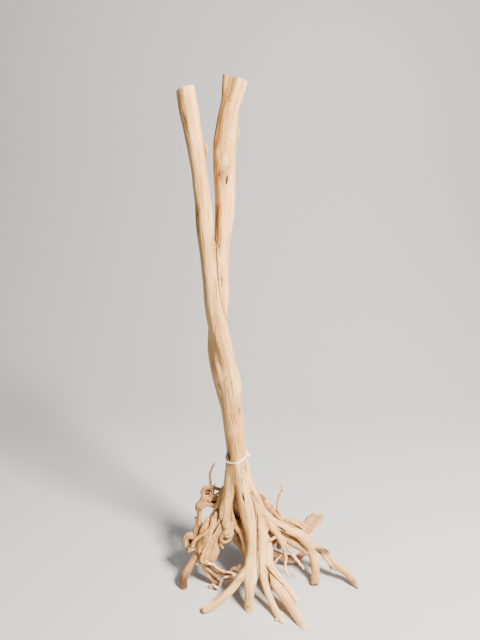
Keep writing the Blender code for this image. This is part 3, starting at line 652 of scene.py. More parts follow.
# %% [markdown]
# Every point of the skin now asks each strand how near it is. The strand that is nearest
# counts most, and where two strands meet they share the point. This gives the point its
# place in the fibres (two measures across the strand and the length grown), which later
# turns into grain, and it tells how close a second strand is, which marks the grooves.
# %% Where each point lies in the strands
REACH = 0.010            # a strand is felt this far outside its own skin
SHARE = 0.0012           # how quickly the nearer strand wins
DEEPEST = 0.004          # further inside a strand than this, a point counts no more for it
BATCH = 20000            # points that are compared with a strand at a time
# Most of these tints are the wood's own tones. Some are painted shade: the umber on stem_left and part of its
# straw paint the shade that the stem stands in, and the rest of its straw is its ochre tone; knot_left_stem
# is darkened as the shadow behind the stem; shaded_web is a shadowed flap whose dark rose and umber are
# mostly painted shade over some bark of its own; and loop_pit, loop_slot and knob_inner, at the back of the
# holes, are painted umber as the shade in them.
TINTS = {                # rose, umber and straw tints of the wood, from 0 to 1
    "crown": (.8, .35, 0), "stem_right": (.04, .02, .2), "stem_left": (0, .10, .38),
    "stem_fill": (0, .12, .6), "stem_node": (.1, .16, .7), "trunk_fill": (.05, .05, .2),
    "stem_right_lobe": (0, .18, .6),
    "knot_left_stem": (.8, 1, 0), "knot_right_stem": (.2, .35, .3), "loop_slot": (.3, .9, 0),
    "under_middle": (1, .35, 0), "under_front": (.8, .4, 0), "under_arch": (1, .3, 0),
    "back_middle": (.6, .3, 0), "back_left": (.5, .3, 0), "back_right": (.4, .1, .1),
    "back_right_end": (.4, .12, .1), "left_leg": (.45, .35, .25), "loop_outer": (.35, .25, .2),
    "loop_upper": (.4, .45, .1), "loop_pit": (.3, 1, 0), "loop_knot": (.2, .4, .4),
    "small_ring": (.2, .35, .25), "small_curl": (.15, .2, .2),
    "small_hook": (.5, .3, 0), "loop_lip": (.2, .2, .3),
    "loop_inner": (.1, .12, .35), "left_knob": (.35, .3, .1), "under_left_short": (.35, .2, .1),
    "shaded_web": (.65, .6, 0), "right_root_under": (.5, .1, .25), "right_root": (.08, 0, .25),
    "upper_right": (.3, .15, .1), "upper_right_flap": (.35, 0, 0), "far_right": (.22, .1, .12),
    "torn_flare": (.12, .05, .12), "right_hanging": (.1, 0, .1), "left_strand": (.1, 0, .1),
    "window_left": (.1, 0, .1), "window_inner": (.95, .35, 0), "window_floor": (.2, 0, .3),
    "middle_low": (.6, .3, .1), "leg_lump": (.05, .08, .4), "leg_lump_left": (.1, .15, .55),
    "leg_cross": (.05, 0, .25), "knob_inner": (.2, 1, 0), "flare_lip": (.05, 0, .2),
    "flare_beak": (.1, 0, .05), "right_inner": (.8, .6, 0), "right_inner_low": (.9, .3, 0),
    "upper_tip": (.2, .1, .1), "upper_tip_low": (.25, .2, .1), "upper_tip_back": (.25, .1, .1),
    "flap_edge": (.3, .45, 0), "flap_plate": (.3, 0, 0), "flap_floor": (.8, .55, 0),
    "elbow_top": (.1, .7, .3), "elbow_ridge": (.35, .1, .1), "left_strand_split": (.1, .05, .1),
}


def nearest_step(points, strand):
    """The strand's nearest place to each point, as a number of steps with a fraction."""
    centres = strand["centres"]
    best = np.empty(len(points), int)
    for low in range(0, len(points), BATCH):
        some = points[low:low + BATCH]
        apart = (centres ** 2).sum(1) - 2 * some @ centres.T
        best[low:low + BATCH] = apart.argmin(1)
    along = np.einsum("ij,ij->i", points - centres[best], strand["ahead"][best]) / strand["step"]
    return np.clip(best + np.clip(along, -1, 1), 0, len(centres) - 1)


def read(values, place):
    """Values of the strand at a place between two steps."""
    low = np.minimum(place.astype(int), len(values) - 2)
    part = place - low
    part = part[:, None] if values.ndim > 1 else part
    return values[low] * (1 - part) + values[low + 1] * part


def along_strands(points):
    """For every point: the gaps to its two nearest strands, and its blended place in them."""
    count = len(points)
    gaps = np.full((2, count), REACH)
    total = np.zeros(count)
    blend = {"grain": np.zeros((count, 3)), "tint": np.zeros((count, 3)), "thick": np.zeros(count),
             "ahead": np.zeros((count, 3)), "to_end": np.zeros(count), "rough": np.zeros(count),
             "crisp": np.zeros(count)}
    for strand in strands.values():
        kind = strand["kind"]
        margin = strand["radius"].max() + REACH
        low, high = strand["centres"].min(0) - margin, strand["centres"].max(0) + margin
        near = np.flatnonzero(((points > low) & (points < high)).all(1))
        place = nearest_step(points[near], strand)
        out = points[near] - read(strand["centres"], place)
        radius = read(strand["radius"], place)
        gap = np.linalg.norm(out, axis=1) - radius
        felt = gap < REACH
        near, place, out, radius, gap = near[felt], place[felt], out[felt], radius[felt], gap[felt]
        across = np.einsum("ij,ij->i", out, read(strand["across"], place))
        aside = np.einsum("ij,ij->i", out, read(strand["aside"], place))
        grown = read(strand["grown"], place)
        weight = np.exp(-np.maximum(gap, -DEEPEST) / SHARE)
        total[near] += weight
        blend["grain"][near] += weight[:, None] * np.stack([across, aside, grown], axis=1)
        blend["tint"][near] += weight[:, None] * np.array(TINTS.get(kind, (0, 0, 0)))
        blend["thick"][near] += weight * radius
        blend["ahead"][near] += weight[:, None] * read(strand["ahead"], place)
        left = strand["length"][-1] - place * strand["step"]
        blend["to_end"][near] += weight * (left if kind in TORN_ENDS else 1.0)
        blend["rough"][near] += weight * ROUGH.get(kind, 0)
        blend["crisp"][near] += weight * (kind in CRISP)
        second = np.minimum(gaps[1, near], np.maximum(gap, gaps[0, near]))
        gaps[0, near] = np.minimum(gaps[0, near], gap)
        gaps[1, near] = second
    total = np.maximum(total, 1e-9)
    result = {key: value / (total[:, None] if value.ndim > 1 else total) for key, value in blend.items()}
    result["ahead"] = unit(result["ahead"])
    result["gap"], result["second_gap"] = gaps
    return result


def points_of(mesh):
    points = np.empty(len(mesh.vertices) * 3)
    mesh.vertices.foreach_get("co", points)
    return points.reshape(-1, 3)


def normals_of(mesh):
    normals = np.empty(len(mesh.vertices) * 3)
    mesh.vertex_normals.foreach_get("vector", normals)
    return normals.reshape(-1, 3)


CRISP = ("torn_flare", "back_right_end", "shaded_web", "upper_tip", "upper_tip_low", "upper_tip_back",
         "flare_lip", "flare_beak", "leg_cross", "flap_edge")
TORN_ENDS = ("torn_flare", "right_root", "left_leg", "back_right_end", "under_left_short",
             "upper_tip", "upper_tip_low", "upper_tip_back", "flare_beak")
skins = {name: points_of(wood.data) for name, wood in woods.items()}
places = {name: along_strands(skin) for name, skin in skins.items()}
for name, place in places.items():
    print(name, "has", int((place["second_gap"] < 0.002).sum()), "points in grooves")

# %% [markdown]
# The grid leaves sharp corners where strands meet. A point that is drawn towards the mean
# of its neighbours loses them, and it moves most where two strands are close, so that the
# thin strands keep their thickness.
# %% Soften the junctions
SOFTEN_ROUNDS = 12


def edges_of(mesh):
    edges = np.empty(len(mesh.edges) * 2, np.int64)
    mesh.edges.foreach_get("vertices", edges)
    return edges.reshape(-1, 2)


def neighbour_mean(values, edges):
    """The mean of every point's neighbours, for each column of the values."""
    count = np.bincount(edges.ravel(), minlength=len(values))
    total = np.zeros_like(values)
    for near, far in ((edges[:, 0], edges[:, 1]), (edges[:, 1], edges[:, 0])):
        for k in range(values.shape[1]):
            total[:, k] += np.bincount(near, values[far, k], len(values))
    return total / np.maximum(count, 1)[:, None]


def soften(wood, skin, place, rounds):
    """Move each point towards its neighbours' mean, most where two strands are close."""
    edges = edges_of(wood.data)
    close = np.exp(-(np.maximum(place["second_gap"], 0) / 0.003) ** 2)
    yielding = (0.12 + 0.5 * close * (1 - place["crisp"])) * (1 - 0.7 * place["crisp"])
    for _ in range(rounds):
        skin = skin + yielding[:, None] * (neighbour_mean(skin, edges) - skin)
    return skin


def put_back(wood, skin):
    wood.data.vertices.foreach_set("co", skin.ravel())
    wood.data.update()


for name, wood in woods.items():
    skins[name] = soften(wood, skins[name], places[name], SOFTEN_ROUNDS)
    put_back(wood, skins[name])
    places[name] = along_strands(skins[name])
print("softened:", ", ".join(woods))

# %% [markdown]
# Peeled wood is never quite round. It has flutes and flat facets that run with the fibres,
# finer ridges between them, and splits where it dried. All of that is noise that is
# stretched along the fibres: it is read at the point's place in the strands, in cells that
# are much longer along the strand than across it.
# %% Flutes, ridges and furrows
FRAY = 0.0045            # how unevenly a torn end stops


def wood_relief(points, place):
    """How far each point stands out: swellings, flutes, ridges and furrows that follow the
    fibres, and knobs and pits where the wood is rough."""
    grain, rough = place["grain"], place["rough"]
    size = np.clip(place["thick"] / 0.015, 0.35, 1.2)
    swells = noise(grain, (0.026, 0.026, 0.050), 11)
    flutes = noise(grain, (0.010, 0.010, 0.13), 1) + 0.5 * noise(grain, (0.0055, 0.0055, 0.07), 2)
    ridges = 1 - 2.5 * np.abs(noise(grain, (0.0045, 0.0045, 0.07), 3))
    lumps = noise(grain, (0.014, 0.014, 0.022), 4)
    line = np.abs(noise(grain, (0.0080, 0.0080, 0.40), 5))
    here = ease(noise(grain, (0.02, 0.02, 0.05), 6), 0.0, 0.5)
    furrows = here * (1 - ease(line, 0.0, 0.14))
    knobs = noise(points, (0.0062, 0.0062, 0.0062), 7)
    creases = 1 - 2.5 * np.abs(noise(grain, (0.0030, 0.0030, 0.022), 8))
    pits = rough * ease(noise(grain, (0.0036, 0.0036, 0.010), 10), 0.45, 0.8)
    out = size * (0.0013 * swells + 0.0008 * flutes + 0.00022 * ridges + 0.0006 * lumps)
    out += rough * (0.0005 * knobs + 0.00055 * creases) - 0.0012 * pits
    out -= 0.0009 * np.minimum(size, 1) * furrows
    return out, np.maximum(furrows, 0.6 * pits)


for name, wood in woods.items():
    place = places[name]
    out, _ = wood_relief(skins[name], place)
    fray = FRAY * (1 - ease(place["to_end"], 0.001, 0.009)) * noise(place["grain"], (.0024, .0024, .08), 9)
    skins[name] = skins[name] + normals_of(wood.data) * out[:, None] + place["ahead"] * fray[:, None]
    put_back(wood, skins[name])
    print(name, "relief from", round(out.min() * 1000, 2), "to", round(out.max() * 1000, 2), "mm")

# %% [markdown]
# The skin has far more points than it needs where it is flat. The shortest edges are drawn
# together there until the count is right.
# %% Fewer triangles where the skin is flat
def thin_out(obj, triangles):
    """Collapse the shortest edges first, where the skin is flattest."""
    now = sum(len(face.vertices) - 2 for face in obj.data.polygons)
    if now > triangles:
        thin = obj.modifiers.new("thin_out", "DECIMATE")
        thin.ratio = triangles / now
        apply_modifiers(obj)
    print("triangles:", now, "->", sum(len(face.vertices) - 2 for face in obj.data.polygons))


for name, wood in woods.items():
    thin_out(wood, PIECES[name][1])

# %% [markdown]
# Noise can't know where this root's own splits, knots and stains are. They lie on an upright
# plane through the crown's line, as they are seen from the front. Some splits are listed as
# places in the photograph, and from_photo puts those on the plane. The other marks are
# listed on it as across and up, in metres, found in the same way beforehand. Fine drying
# cracks follow the strands by a rule. A point of the skin is looked up if it faces the viewer.
# %% Splits, knots and stains of this root
EYE = np.array(camera.location)
SPLITS = {      # width, depth, and the line from end to end
    "stem_pit": (.0042, .0016, [(-.0205, .7640), (-.0213, .7580), (-.0225, .7510)]),
    "left_streak": (.0026, .0007, [(-.0885, .8580), (-.0835, .8370), (-.0805, .8200)]),
    "arm_split": (.0020, .0014, [(-.0800, .141), (-.0826, .124), (-.0846, .106)]),
    "crown_slit": (.0036, .0030, [(.0042, .176), (.0062, .166), (.0078, .156)]),
    "crown_pit": (.0018, .0012, [(-.0225, .169), (-.0230, .163)]),
    "left_split_a": (.0028, .0022, [(-.0457, .141), (-.0509, .132), (-.0552, .123)]),
    "left_split_b": (.0020, .0014, [(-.0348, .119), (-.0364, .113), (-.0388, .106)]),
    "left_split_c": (.0034, .0030, [(-.0385, .112), (-.0445, .101), (-.0505, .090), (-.0557, .0787)]),
    "right_slot": (.0034, .0026, [(.0740, .1005), (.0831, .0945), (.0904, .0879)]),
}
SEEN_SPLITS = {        # width, depth, and the line as places picked in the photo
    "stem_groove": (.0055, .0003, [(233, 75.6), (228, 105), (224, 150)]),
    "fork_line": (.003, .0011, [(213.3, 230), (216.4, 247), (217.3, 265), (218.7, 287), (223.6, 314)]),
    "facet_line": (.006, .00015, [(207, 325), (218, 351), (221, 376), (221.5, 402)]),
    "tie_split": (.0034, .0026, [(228, 452), (229.3, 460)]),
    "trunk_line": (.002, .0008, [(241, 470), (241.5, 478), (241.5, 485)]),
    "front_groove": (.0028, .0013, [(257.4, 515), (257, 530), (257, 545), (257, 560), (257.5, 577)]),
    "leg_split": (.0034, .0028, [(265.5, 565), (268.6, 571), (276, 578), (283.4, 585.6)]),
    "leg_split_low": (.0028, .0022, [(268.6, 571), (269, 585)]),
    "right_groove": (.0034, .0014, [(271.8, 515), (279.5, 520)]),
    "right_merge": (.0024, .001, [(291, 527), (296, 527)]),
}
SPLITS |= {name: (width, deep, [from_photo(*place, 0)[0:3:2] for place in line])
           for name, (width, deep, line) in SEEN_SPLITS.items()}
KNOTS = [       # across, up, radius, height
    (.0212, .1773, .0035, .0009), (-.0155, .874, .0016, -.0007), (-.0265, .846, .0014, -.0006),
    (-.0545, .609, .0016, -.0006), (-.0269, .415, .0020, -.0007), (-.0157, .366, .0016, -.0006),
    (-.0056, .3025, .0016, -.0005), (.0862, -.0496, .0030, -.0016), (.0157, -.0996, .0030, -.0010),
    (-.0783, .045, .0022, -.0012), (-.0841, .0115, .0020, -.0010), (-.0498, .0155, .0022, -.0012),
    (-.0403, .0305, .0018, -.0010), (-.0690, -.097, .0020, -.0009), (-.0520, -.0813, .0018, -.0007),
]
STAINS = [      # across, up, half width, half height, and how rose, umber and straw
    (-.0835, .845, .0036, .018, .1, .55, .4), (-.0300, .781, .0085, .030, 0, .1, .9),
    (-.0326, .767, .0050, .014, .1, .25, .4), (-.0230, .776, .0070, .012, 0, .2, .5),
    (-.0310, .820, .0060, .030, 0, .15, .6), (-.0180, .840, .0050, .040, 0, .1, .5),
    (-.0150, .870, .0180, .060, 0, .06, .45), (-.0240, .790, .0140, .030, 0, .10, .35),
    (-.0345, .7400, .0040, .0350, .1, .35, .3), (-.0370, .6900, .0040, .0300, .1, .45, .2),
    (-.0005, .831, .0050, .008, .1, .5, .3), (-.0930, .8700, .0060, .0250, 0, .1, .5),
    (-.0640, .7500, .0050, .0400, 0, .1, .5), (-.0480, .6450, .0060, .0300, .2, .1, .2),
    (-.0038, .397, .0050, .014, -.1, -.1, -.2),
    (-.0205, .303, .0070, .036, 0, .12, 1), (-.0160, .225, .0065, .055, 0, .15, .8),
    (-.0215, .257, .0050, .014, 0, .65, .3), (.0212, .1773, .0036, .004, .1, .8, .2),
    (-.0100, .170, .0065, .034, 0, .2, .6), (.1669, .0400, .0140, .0090, 0, 1, .5),
    (.1560, .0450, .0130, .0060, 0, .35, .5), (.2330, -.035, .0130, .0110, .55, .45, .1),
    (.1500, -.032, .0100, .0070, 0, .5, .7), (.0157, -.0996, .0050, .0040, 0, .6, .2),
    (-.0786, -.1067, .0055, .0050, 0, .5, .2), (-.1151, -.0376, .0120, .0190, .2, 1, .3),
    (-.0780, .068, .0120, .0200, .05, .45, .6), (.0575, -.010, .0090, .0160, .2, .5, .2),
    (-.0050, -.030, .0080, .0060, .2, .7, 0), (-.0810, .0985, .0040, .0050, .4, .8, 0),
    (-.0805, .0350, .0035, .0040, .1, .9, 0), (-.0930, .1200, .0060, .0120, .1, .2, .6),
    (-.0700, .1330, .0090, .0070, 0, .25, .8), (.0850, .1120, .0110, .0060, 0, .2, .5),
    (.0420, .1650, .0080, .0060, .6, .5, 0), (.0610, -.0300, .0060, .0160, .1, .1, .6),
    (.1200, .0700, .0120, .0080, 0, .1, .4), (-.0560, .4400, .0070, .0500, 0, .05, .3),
    (-.0100, .3500, .0080, .0500, .15, 0, .2), (-.0700, .7000, .0060, .0500, .05, .05, .25),
    (.0280, .0200, .0030, .0600, 0, .25, .4), (-.0420, .5600, .0040, .0500, 0, .15, .3),
]
MARK_COLUMNS = 3
WAVER = 0.0005           # how far a split strays from its line
DARKEST_AT = 0.0016      # a split of this depth is as dark as they get
FINER = ((0.0012, 0.0016), (0.0008, 0.0006))     # edges longer than this are halved, this near a mark


def front_view(points):
    """Where each point is seen on the crown's plane: drawn along its ray from the eye."""
    real = points + MIDDLE
    share = EYE_BACK / (real[:, 1] + EYE_BACK)
    return np.stack([real[:, 0] * share, EYE_HEIGHT + (real[:, 2] - EYE_HEIGHT) * share], axis=1)


HAIR_WIDTH = 0.0018
HAIR_DEPTH = 0.0006
HAIR_LENGTHS = (0.020, 0.042)
HAIR_POINTS = 5
HAIR_SHARE = 0.6               # a crack takes up no more of its strand than this
HAIR_REACH = 0.55              # how far to the side of the middle they run, in radii
HAIRS = {                      # how many fine drying cracks each strand shows
    "stem_left": 4, "stem_right": 5, "front_main": 2, "front_right": 2, "left_strand": 2,
    "torn_flare": 3, "left_leg": 3, "right_root": 3, "far_right": 2, "right_thick": 2,
    "upper_right": 1, "right_hanging": 1, "loop_outer": 1, "under_middle": 1,
}


def grain_cracks(seed=61):
    """Lines along the strands, as seen on the crown's plane. Each starts at a random place on
    its strand, follows the strand's own middle for a random length, and is moved sideways by
    a random share of the strand's radius, so it runs with the grain."""
    chance = np.random.default_rng(seed)
    lines = []
    for name, count in HAIRS.items():
        path = np.array((STEMS | ROOTS | FLAT_ROOTS | LOOPS)[name], float)
        along = length_along(path)
        for _ in range(count):
            length = min(chance.uniform(*HAIR_LENGTHS), HAIR_SHARE * along[-1])
            start = chance.uniform(0, along[-1] - length)
            at = np.linspace(start, start + length, HAIR_POINTS)
            row = np.stack([np.interp(at, along, path[:, k]) for k in range(4)], axis=1)
            seen = front_view(row[:, :3] - MIDDLE)
            way = unit(np.gradient(seen, axis=0))
            side = chance.uniform(-HAIR_REACH, HAIR_REACH) * row[:, 3:]
            lines.append(seen + side * np.stack([-way[:, 1], way[:, 0]], axis=1))
    return lines


CRACKS = list(SPLITS.values()) + [(HAIR_WIDTH, HAIR_DEPTH, line) for line in grain_cracks()]
print("fine drying cracks:", sum(HAIRS.values()))


def line_distance(seen, line):
    """Distance to the nearest stretch of a line of several points, and how far along it is."""
    line = np.array(line, float)
    best, part = np.full(len(seen), 1.0), np.zeros(len(seen))
    for k in range(len(line) - 1):
        way = line[k + 1] - line[k]
        t = np.clip((seen - line[k]) @ way / (way @ way), 0, 1)
        gap = np.linalg.norm(seen - line[k] - t[:, None] * way, axis=1)
        part = np.where(gap < best, (k + t) / (len(line) - 1), part)
        best = np.minimum(best, gap)
    return best, part


def marks(points, normals):
    """The marks at every point: how deep they go, how split, and their tints."""
    seen = front_view(points)
    facing = ease((unit(EYE - points) * normals).sum(1), 0.05, 0.35)
    depth, split = np.zeros(len(points)), np.zeros(len(points))
    tint = np.zeros((len(points), MARK_COLUMNS))
    waver = WAVER * np.stack([noise(points, (.004, .004, .004), seed) for seed in (51, 52)], axis=1)
    for width, deep, line in CRACKS:
        gap, part = line_distance(seen + waver, line)
        half = width / 2 * (0.35 + 0.65 * np.sin(np.pi * np.clip(part, 0.04, 0.96)))
        cut = np.exp(-(gap / half) ** 2) * facing
        depth -= deep * cut
        split = np.maximum(split, cut * min(deep / DARKEST_AT, 1))
    for x, z, radius, height in KNOTS:
        gap = np.hypot(seen[:, 0] - x, seen[:, 1] - z) / radius
        bump = np.exp(-gap ** 2) * facing
        depth += height * bump * (1 - 0.8 * np.exp(-(gap * 2.5) ** 2) * (height > 0))
        split = np.maximum(split, np.exp(-(gap * 2) ** 2) * facing * 0.7)
    for x, z, half_x, half_z, *colour in STAINS:
        gap = ((seen[:, 0] - x) / half_x) ** 2 + ((seen[:, 1] - z) / half_z) ** 2
        tint += np.exp(-gap)[:, None] * facing[:, None] * np.array(colour)
    return depth, split, tint


def refine(obj, size, reach):
    """Halve the edges longer than a size that lie within reach of a split or a knot."""
    points, normals = points_of(obj.data), normals_of(obj.data)
    seen = front_view(points)
    near = np.zeros(len(points), bool)
    for width, _, line in CRACKS:
        near |= line_distance(seen, line)[0] < width / 2 + reach
    for x, z, radius, _ in KNOTS:
        near |= np.hypot(seen[:, 0] - x, seen[:, 1] - z) < radius + reach
    near &= (unit(EYE - points) * normals).sum(1) > 0
    bm = bmesh.new()
    bm.from_mesh(obj.data)
    edges = [edge for edge in bm.edges
             if near[edge.verts[0].index] and near[edge.verts[1].index] and edge.calc_length() > size]
    bmesh.ops.subdivide_edges(bm, edges=edges, cuts=1)
    bmesh.ops.triangulate(bm, faces=bm.faces[:])
    bm.to_mesh(obj.data)
    bm.free()
    return len(edges)


for name, wood in woods.items():
    halved = [refine(wood, size, reach) for size, reach in FINER]
    skin, normals = points_of(wood.data), normals_of(wood.data)
    depth, _, _ = marks(skin, normals)
    put_back(wood, skin + normals * depth[:, None])
    print(name, "edges halved:", halved, "deepest mark:", round(depth.min() * 1000, 1), "mm")

# %% [markdown]
# Two saws took the stems off, and the feet are worn flat where they stand. A plane cuts the
# skin, and each opening is closed with rings that are drawn in from its rim, so that the
# end grain has points of its own to crack open.
# %% Sawn stems and flat feet
CUT_RING = 0.0013
STEM_SPLIT = -0.045            # the left stem lies to the left of this, high up
STEM_FLOOR = 0.80
FEET_BELOW = 0.02


def saw(bm, place, facing, chosen):
    """Cut the chosen side of the mesh at a plane and close the opening with one face."""
    verts = [vert for vert in bm.verts if chosen(vert.co)]
    edges = {edge for vert in verts for edge in vert.link_edges}
    faces = {face for vert in verts for face in vert.link_faces}
    cut = bmesh.ops.bisect_plane(bm, geom=verts + list(edges) + list(faces), dist=1e-6,
                                 plane_co=place, plane_no=facing, clear_outer=True)
    rim = [part for part in cut["geom_cut"] if isinstance(part, bmesh.types.BMEdge) and part.is_boundary]
    closed = bmesh.ops.edgeloop_fill(bm, edges=rim)["faces"]
    for face in closed:
        face.material_index = 1
    return len(closed)


left_place, left_facing = (Vector(value) for value in STEM_CUTS["left"])
right_place, right_facing = (Vector(value) for value in STEM_CUTS["right"])
shift = Vector(MIDDLE)
divide = STEM_SPLIT - MIDDLE[0]
for name, wood in woods.items():
    bm = bmesh.new()
    bm.from_mesh(wood.data)
    if name == "root_wood_fine":
        saw(bm, left_place - shift, left_facing, lambda co: co.z > STEM_FLOOR and co.x < divide)
        saw(bm, right_place - shift, right_facing, lambda co: co.z > STEM_FLOOR and co.x > divide)
    feet = saw(bm, Vector(), Vector((0, 0, -1)), lambda co: co.z < FEET_BELOW)
    bmesh.ops.recalc_face_normals(bm, faces=bm.faces[:])
    bmesh.ops.triangulate(bm, faces=[face for face in bm.faces if face.material_index == 0])
    bm.to_mesh(wood.data)
    bm.free()
    print(name, "stands on", feet, "feet")


def mesh_arrays(mesh):
    """Points, triangles, and the rims of the faces that close a cut."""
    start, total = np.empty(len(mesh.polygons), int), np.empty(len(mesh.polygons), int)
    corner, slot = np.empty(len(mesh.loops), int), np.empty(len(mesh.polygons), int)
    mesh.polygons.foreach_get("loop_start", start)
    mesh.polygons.foreach_get("loop_total", total)
    mesh.polygons.foreach_get("material_index", slot)
    mesh.loops.foreach_get("vertex_index", corner)
    plain = start[slot == 0]
    triangles = corner[plain[:, None] + np.arange(3)]
    rims = [corner[start[k]:start[k] + total[k]] for k in np.flatnonzero(slot == 1)]
    return points_of(mesh), triangles, rims


def ringed_cut(points, rim, first):
    """Rings between a rim and its middle: middle + share (rim - middle), share from 1 to 0.
    Gives the new points, each one's share, and the triangles between the rings."""
    edge = points[rim]
    middle = edge.mean(0)
    rings = max(int(np.linalg.norm(edge - middle, axis=1).mean() / CUT_RING), 2)
    share = np.linspace(1, 0, rings + 1)[1:-1]
    inner = (middle + share[:, None, None] * (edge - middle)).reshape(-1, 3)
    index = np.vstack([rim, np.arange(len(inner)).reshape(-1, len(rim)) + first])
    turn = np.roll(index, -1, axis=1)
    middle_index = first + len(inner)
    lower = np.stack([index[:-1], turn[:-1], turn[1:]], axis=-1).reshape(-1, 3)
    upper = np.stack([index[:-1], turn[1:], index[1:]], axis=-1).reshape(-1, 3)
    fan = np.stack([index[-1], turn[-1], np.full(len(rim), middle_index)], axis=-1)
    return (np.vstack([inner, middle]), np.append(np.repeat(share, len(rim)), 0),
            np.vstack([lower, upper, fan]))


def closed_cuts(mesh):
    """The mesh with rings in its cuts: points, triangles, slots, and how far inside a cut each
    point lies, as 1 on the skin and the rims and 0 in the middle of a cut."""
    points, triangles, rims = mesh_arrays(mesh)
    slots, inward = [np.zeros(len(triangles), np.int32)], np.ones(len(points))
    for rim in rims:
        more, share, faces = ringed_cut(points, rim, len(points))
        points = np.vstack([points, more])
        inward = np.append(inward, share)
        triangles = np.vstack([triangles, faces])
        slots.append(np.ones(len(faces), np.int32))
    return points, triangles, np.concatenate(slots), inward


shapes = {name: closed_cuts(wood.data) for name, wood in woods.items()}
for name, (_, triangles, slots, _) in shapes.items():
    print(name, "has", int(slots.sum()), "triangles in its cuts, and", len(triangles), "in all")

# %% [markdown]
# A stem that dries cracks from its pith outwards, and its saw cut stays a little rough. The
# fibre place of a point on the cut is its place across the stem, so cracks are thin wedges
# in it that run out from the middle at a few angles.
# %% End grain
CHECKS = [0.5, 1.9, 3.3, 4.2, 5.6]     # angles of the drying cracks, in radians
CHECK_WIDTH = 0.0006
CHECK_DEPTH = 0.0022


def drying_cracks(grain, reach):
    """Wedges that run out from the pith: thin near the middle, wider outwards."""
    angle = np.arctan2(grain[:, 1], grain[:, 0]) + 0.12 * noise(grain, (.004, .004, 1), 21)
    out = np.hypot(grain[:, 0], grain[:, 1])
    mask = np.zeros(len(grain))
    for k, turn in enumerate(CHECKS):
        apart = np.abs(np.sin((angle - turn) / 2)) * 2 * out
        wide = CHECK_WIDTH * (0.5 + 0.7 * reach)
        mask = np.maximum(mask, np.exp(-(apart / wide) ** 2) * ease(out, 0.0008, 0.002) * (1 - 0.15 * k))
    return mask


def crack_cuts(points, place, inward):
    """Roughen the stems' cuts, and sink the drying cracks into them."""
    on_cut = (inward < 1) & (points[:, 2] > STEM_FLOOR)
    on_left = (points[:, :1] + MIDDLE[0]) < STEM_SPLIT
    facing = np.where(on_left, unit(np.array(left_facing)), unit(np.array(right_facing)))
    cracks = drying_cracks(place["grain"], inward)
    rough = 0.00012 * noise(place["grain"], (.0011, .02, 1), 22) * ease(1 - inward, 0, 0.1)
    sunk = on_cut * (rough - CHECK_DEPTH * cracks * ease(1 - inward, 0, 0.12))
    return points + facing * sunk[:, None]


places = {name: along_strands(shape[0]) for name, shape in shapes.items()}
solid = {name: crack_cuts(shape[0], places[name], shape[3]) for name, shape in shapes.items()}
print("deepest crack:", round(CHECK_DEPTH * 1000, 1), "mm")

# %% [markdown]
# The finished skin keeps four things for its material: the place in the fibres, the tints,
# how hollow it is, and how split. The material darkens the hollows as painted shade. A point
# is hollow when the mean of the points around it lies further out than it does. That is
# measured twice, close by and further off.
# %% The finished wood and what its material reads
SHARP_WOOD = math.radians(62)
HOLLOW_NEAR = (3, 0.0005)      # rounds of means, and the size that counts as fully hollow
HOLLOW_FAR = (26, 0.0030)


def set_attribute(mesh, name, values):
    kind = "FLOAT" if values.ndim == 1 else "FLOAT_VECTOR"
    made = mesh.attributes.new(name, kind, "POINT")
    key = "value" if values.ndim == 1 else "vector"
    made.data.foreach_set(key, np.ascontiguousarray(values, float).ravel())


def hollowness(points, normals, edges, rounds, size):
    """How far the mean of the surroundings lies outside each point, as a share of a size."""
    mean = points.copy()
    for _ in range(rounds):
        mean = neighbour_mean(mean, edges)
    return ((mean - points) * normals).sum(1) / size


for name in PIECES:
    points, place = solid[name], places[name]
    _, triangles, slots, _ = shapes[name]
    bpy.data.objects.remove(woods[name])
    wood = woods[name] = mesh_from(name, points, triangles.tolist())
    wood.data.polygons.foreach_set("material_index", slots)
    wood.data.shade_smooth()
    wood.data.set_sharp_from_angle(angle=SHARP_WOOD)
    normals, edges = normals_of(wood.data), edges_of(wood.data)
    _, furrows = wood_relief(points, place)
    _, listed, stain = marks(points, normals)
    near_hollow = hollowness(points, normals, edges, *HOLLOW_NEAR)
    far_hollow = hollowness(points, normals, edges, *HOLLOW_FAR)
    hollow = 0.5 * near_hollow + 0.8 * far_hollow + 0.4 * furrows
    set_attribute(wood.data, "grain", place["grain"])
    set_attribute(wood.data, "tint", np.clip(place["tint"] + stain, 0, 1))
    set_attribute(wood.data, "hollow", np.clip(hollow, -1, 1))
    set_attribute(wood.data, "split", np.clip(listed, 0, 1))
    set_attribute(wood.data, "torn", 1 - ease(place["to_end"], 0.002, 0.014))
    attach(wood, "root")
    print(name, len(points), "points,", len(triangles), "triangles")
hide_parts("root_wood")

# %% [markdown]
# Rootlets are too thin for the grid, so each is a tube of its own that starts well inside
# the wood. Real ones are knobbly and never run straight, so their radius and their middle
# line waver with the same noise.
# %% Rootlets
ROOTLET_STEP = 0.0008
ROOTLET_ROUND = 12
POINTED = np.array([(0.5, 0.85), (1.0, 0.55), (1.5, 0.12)])


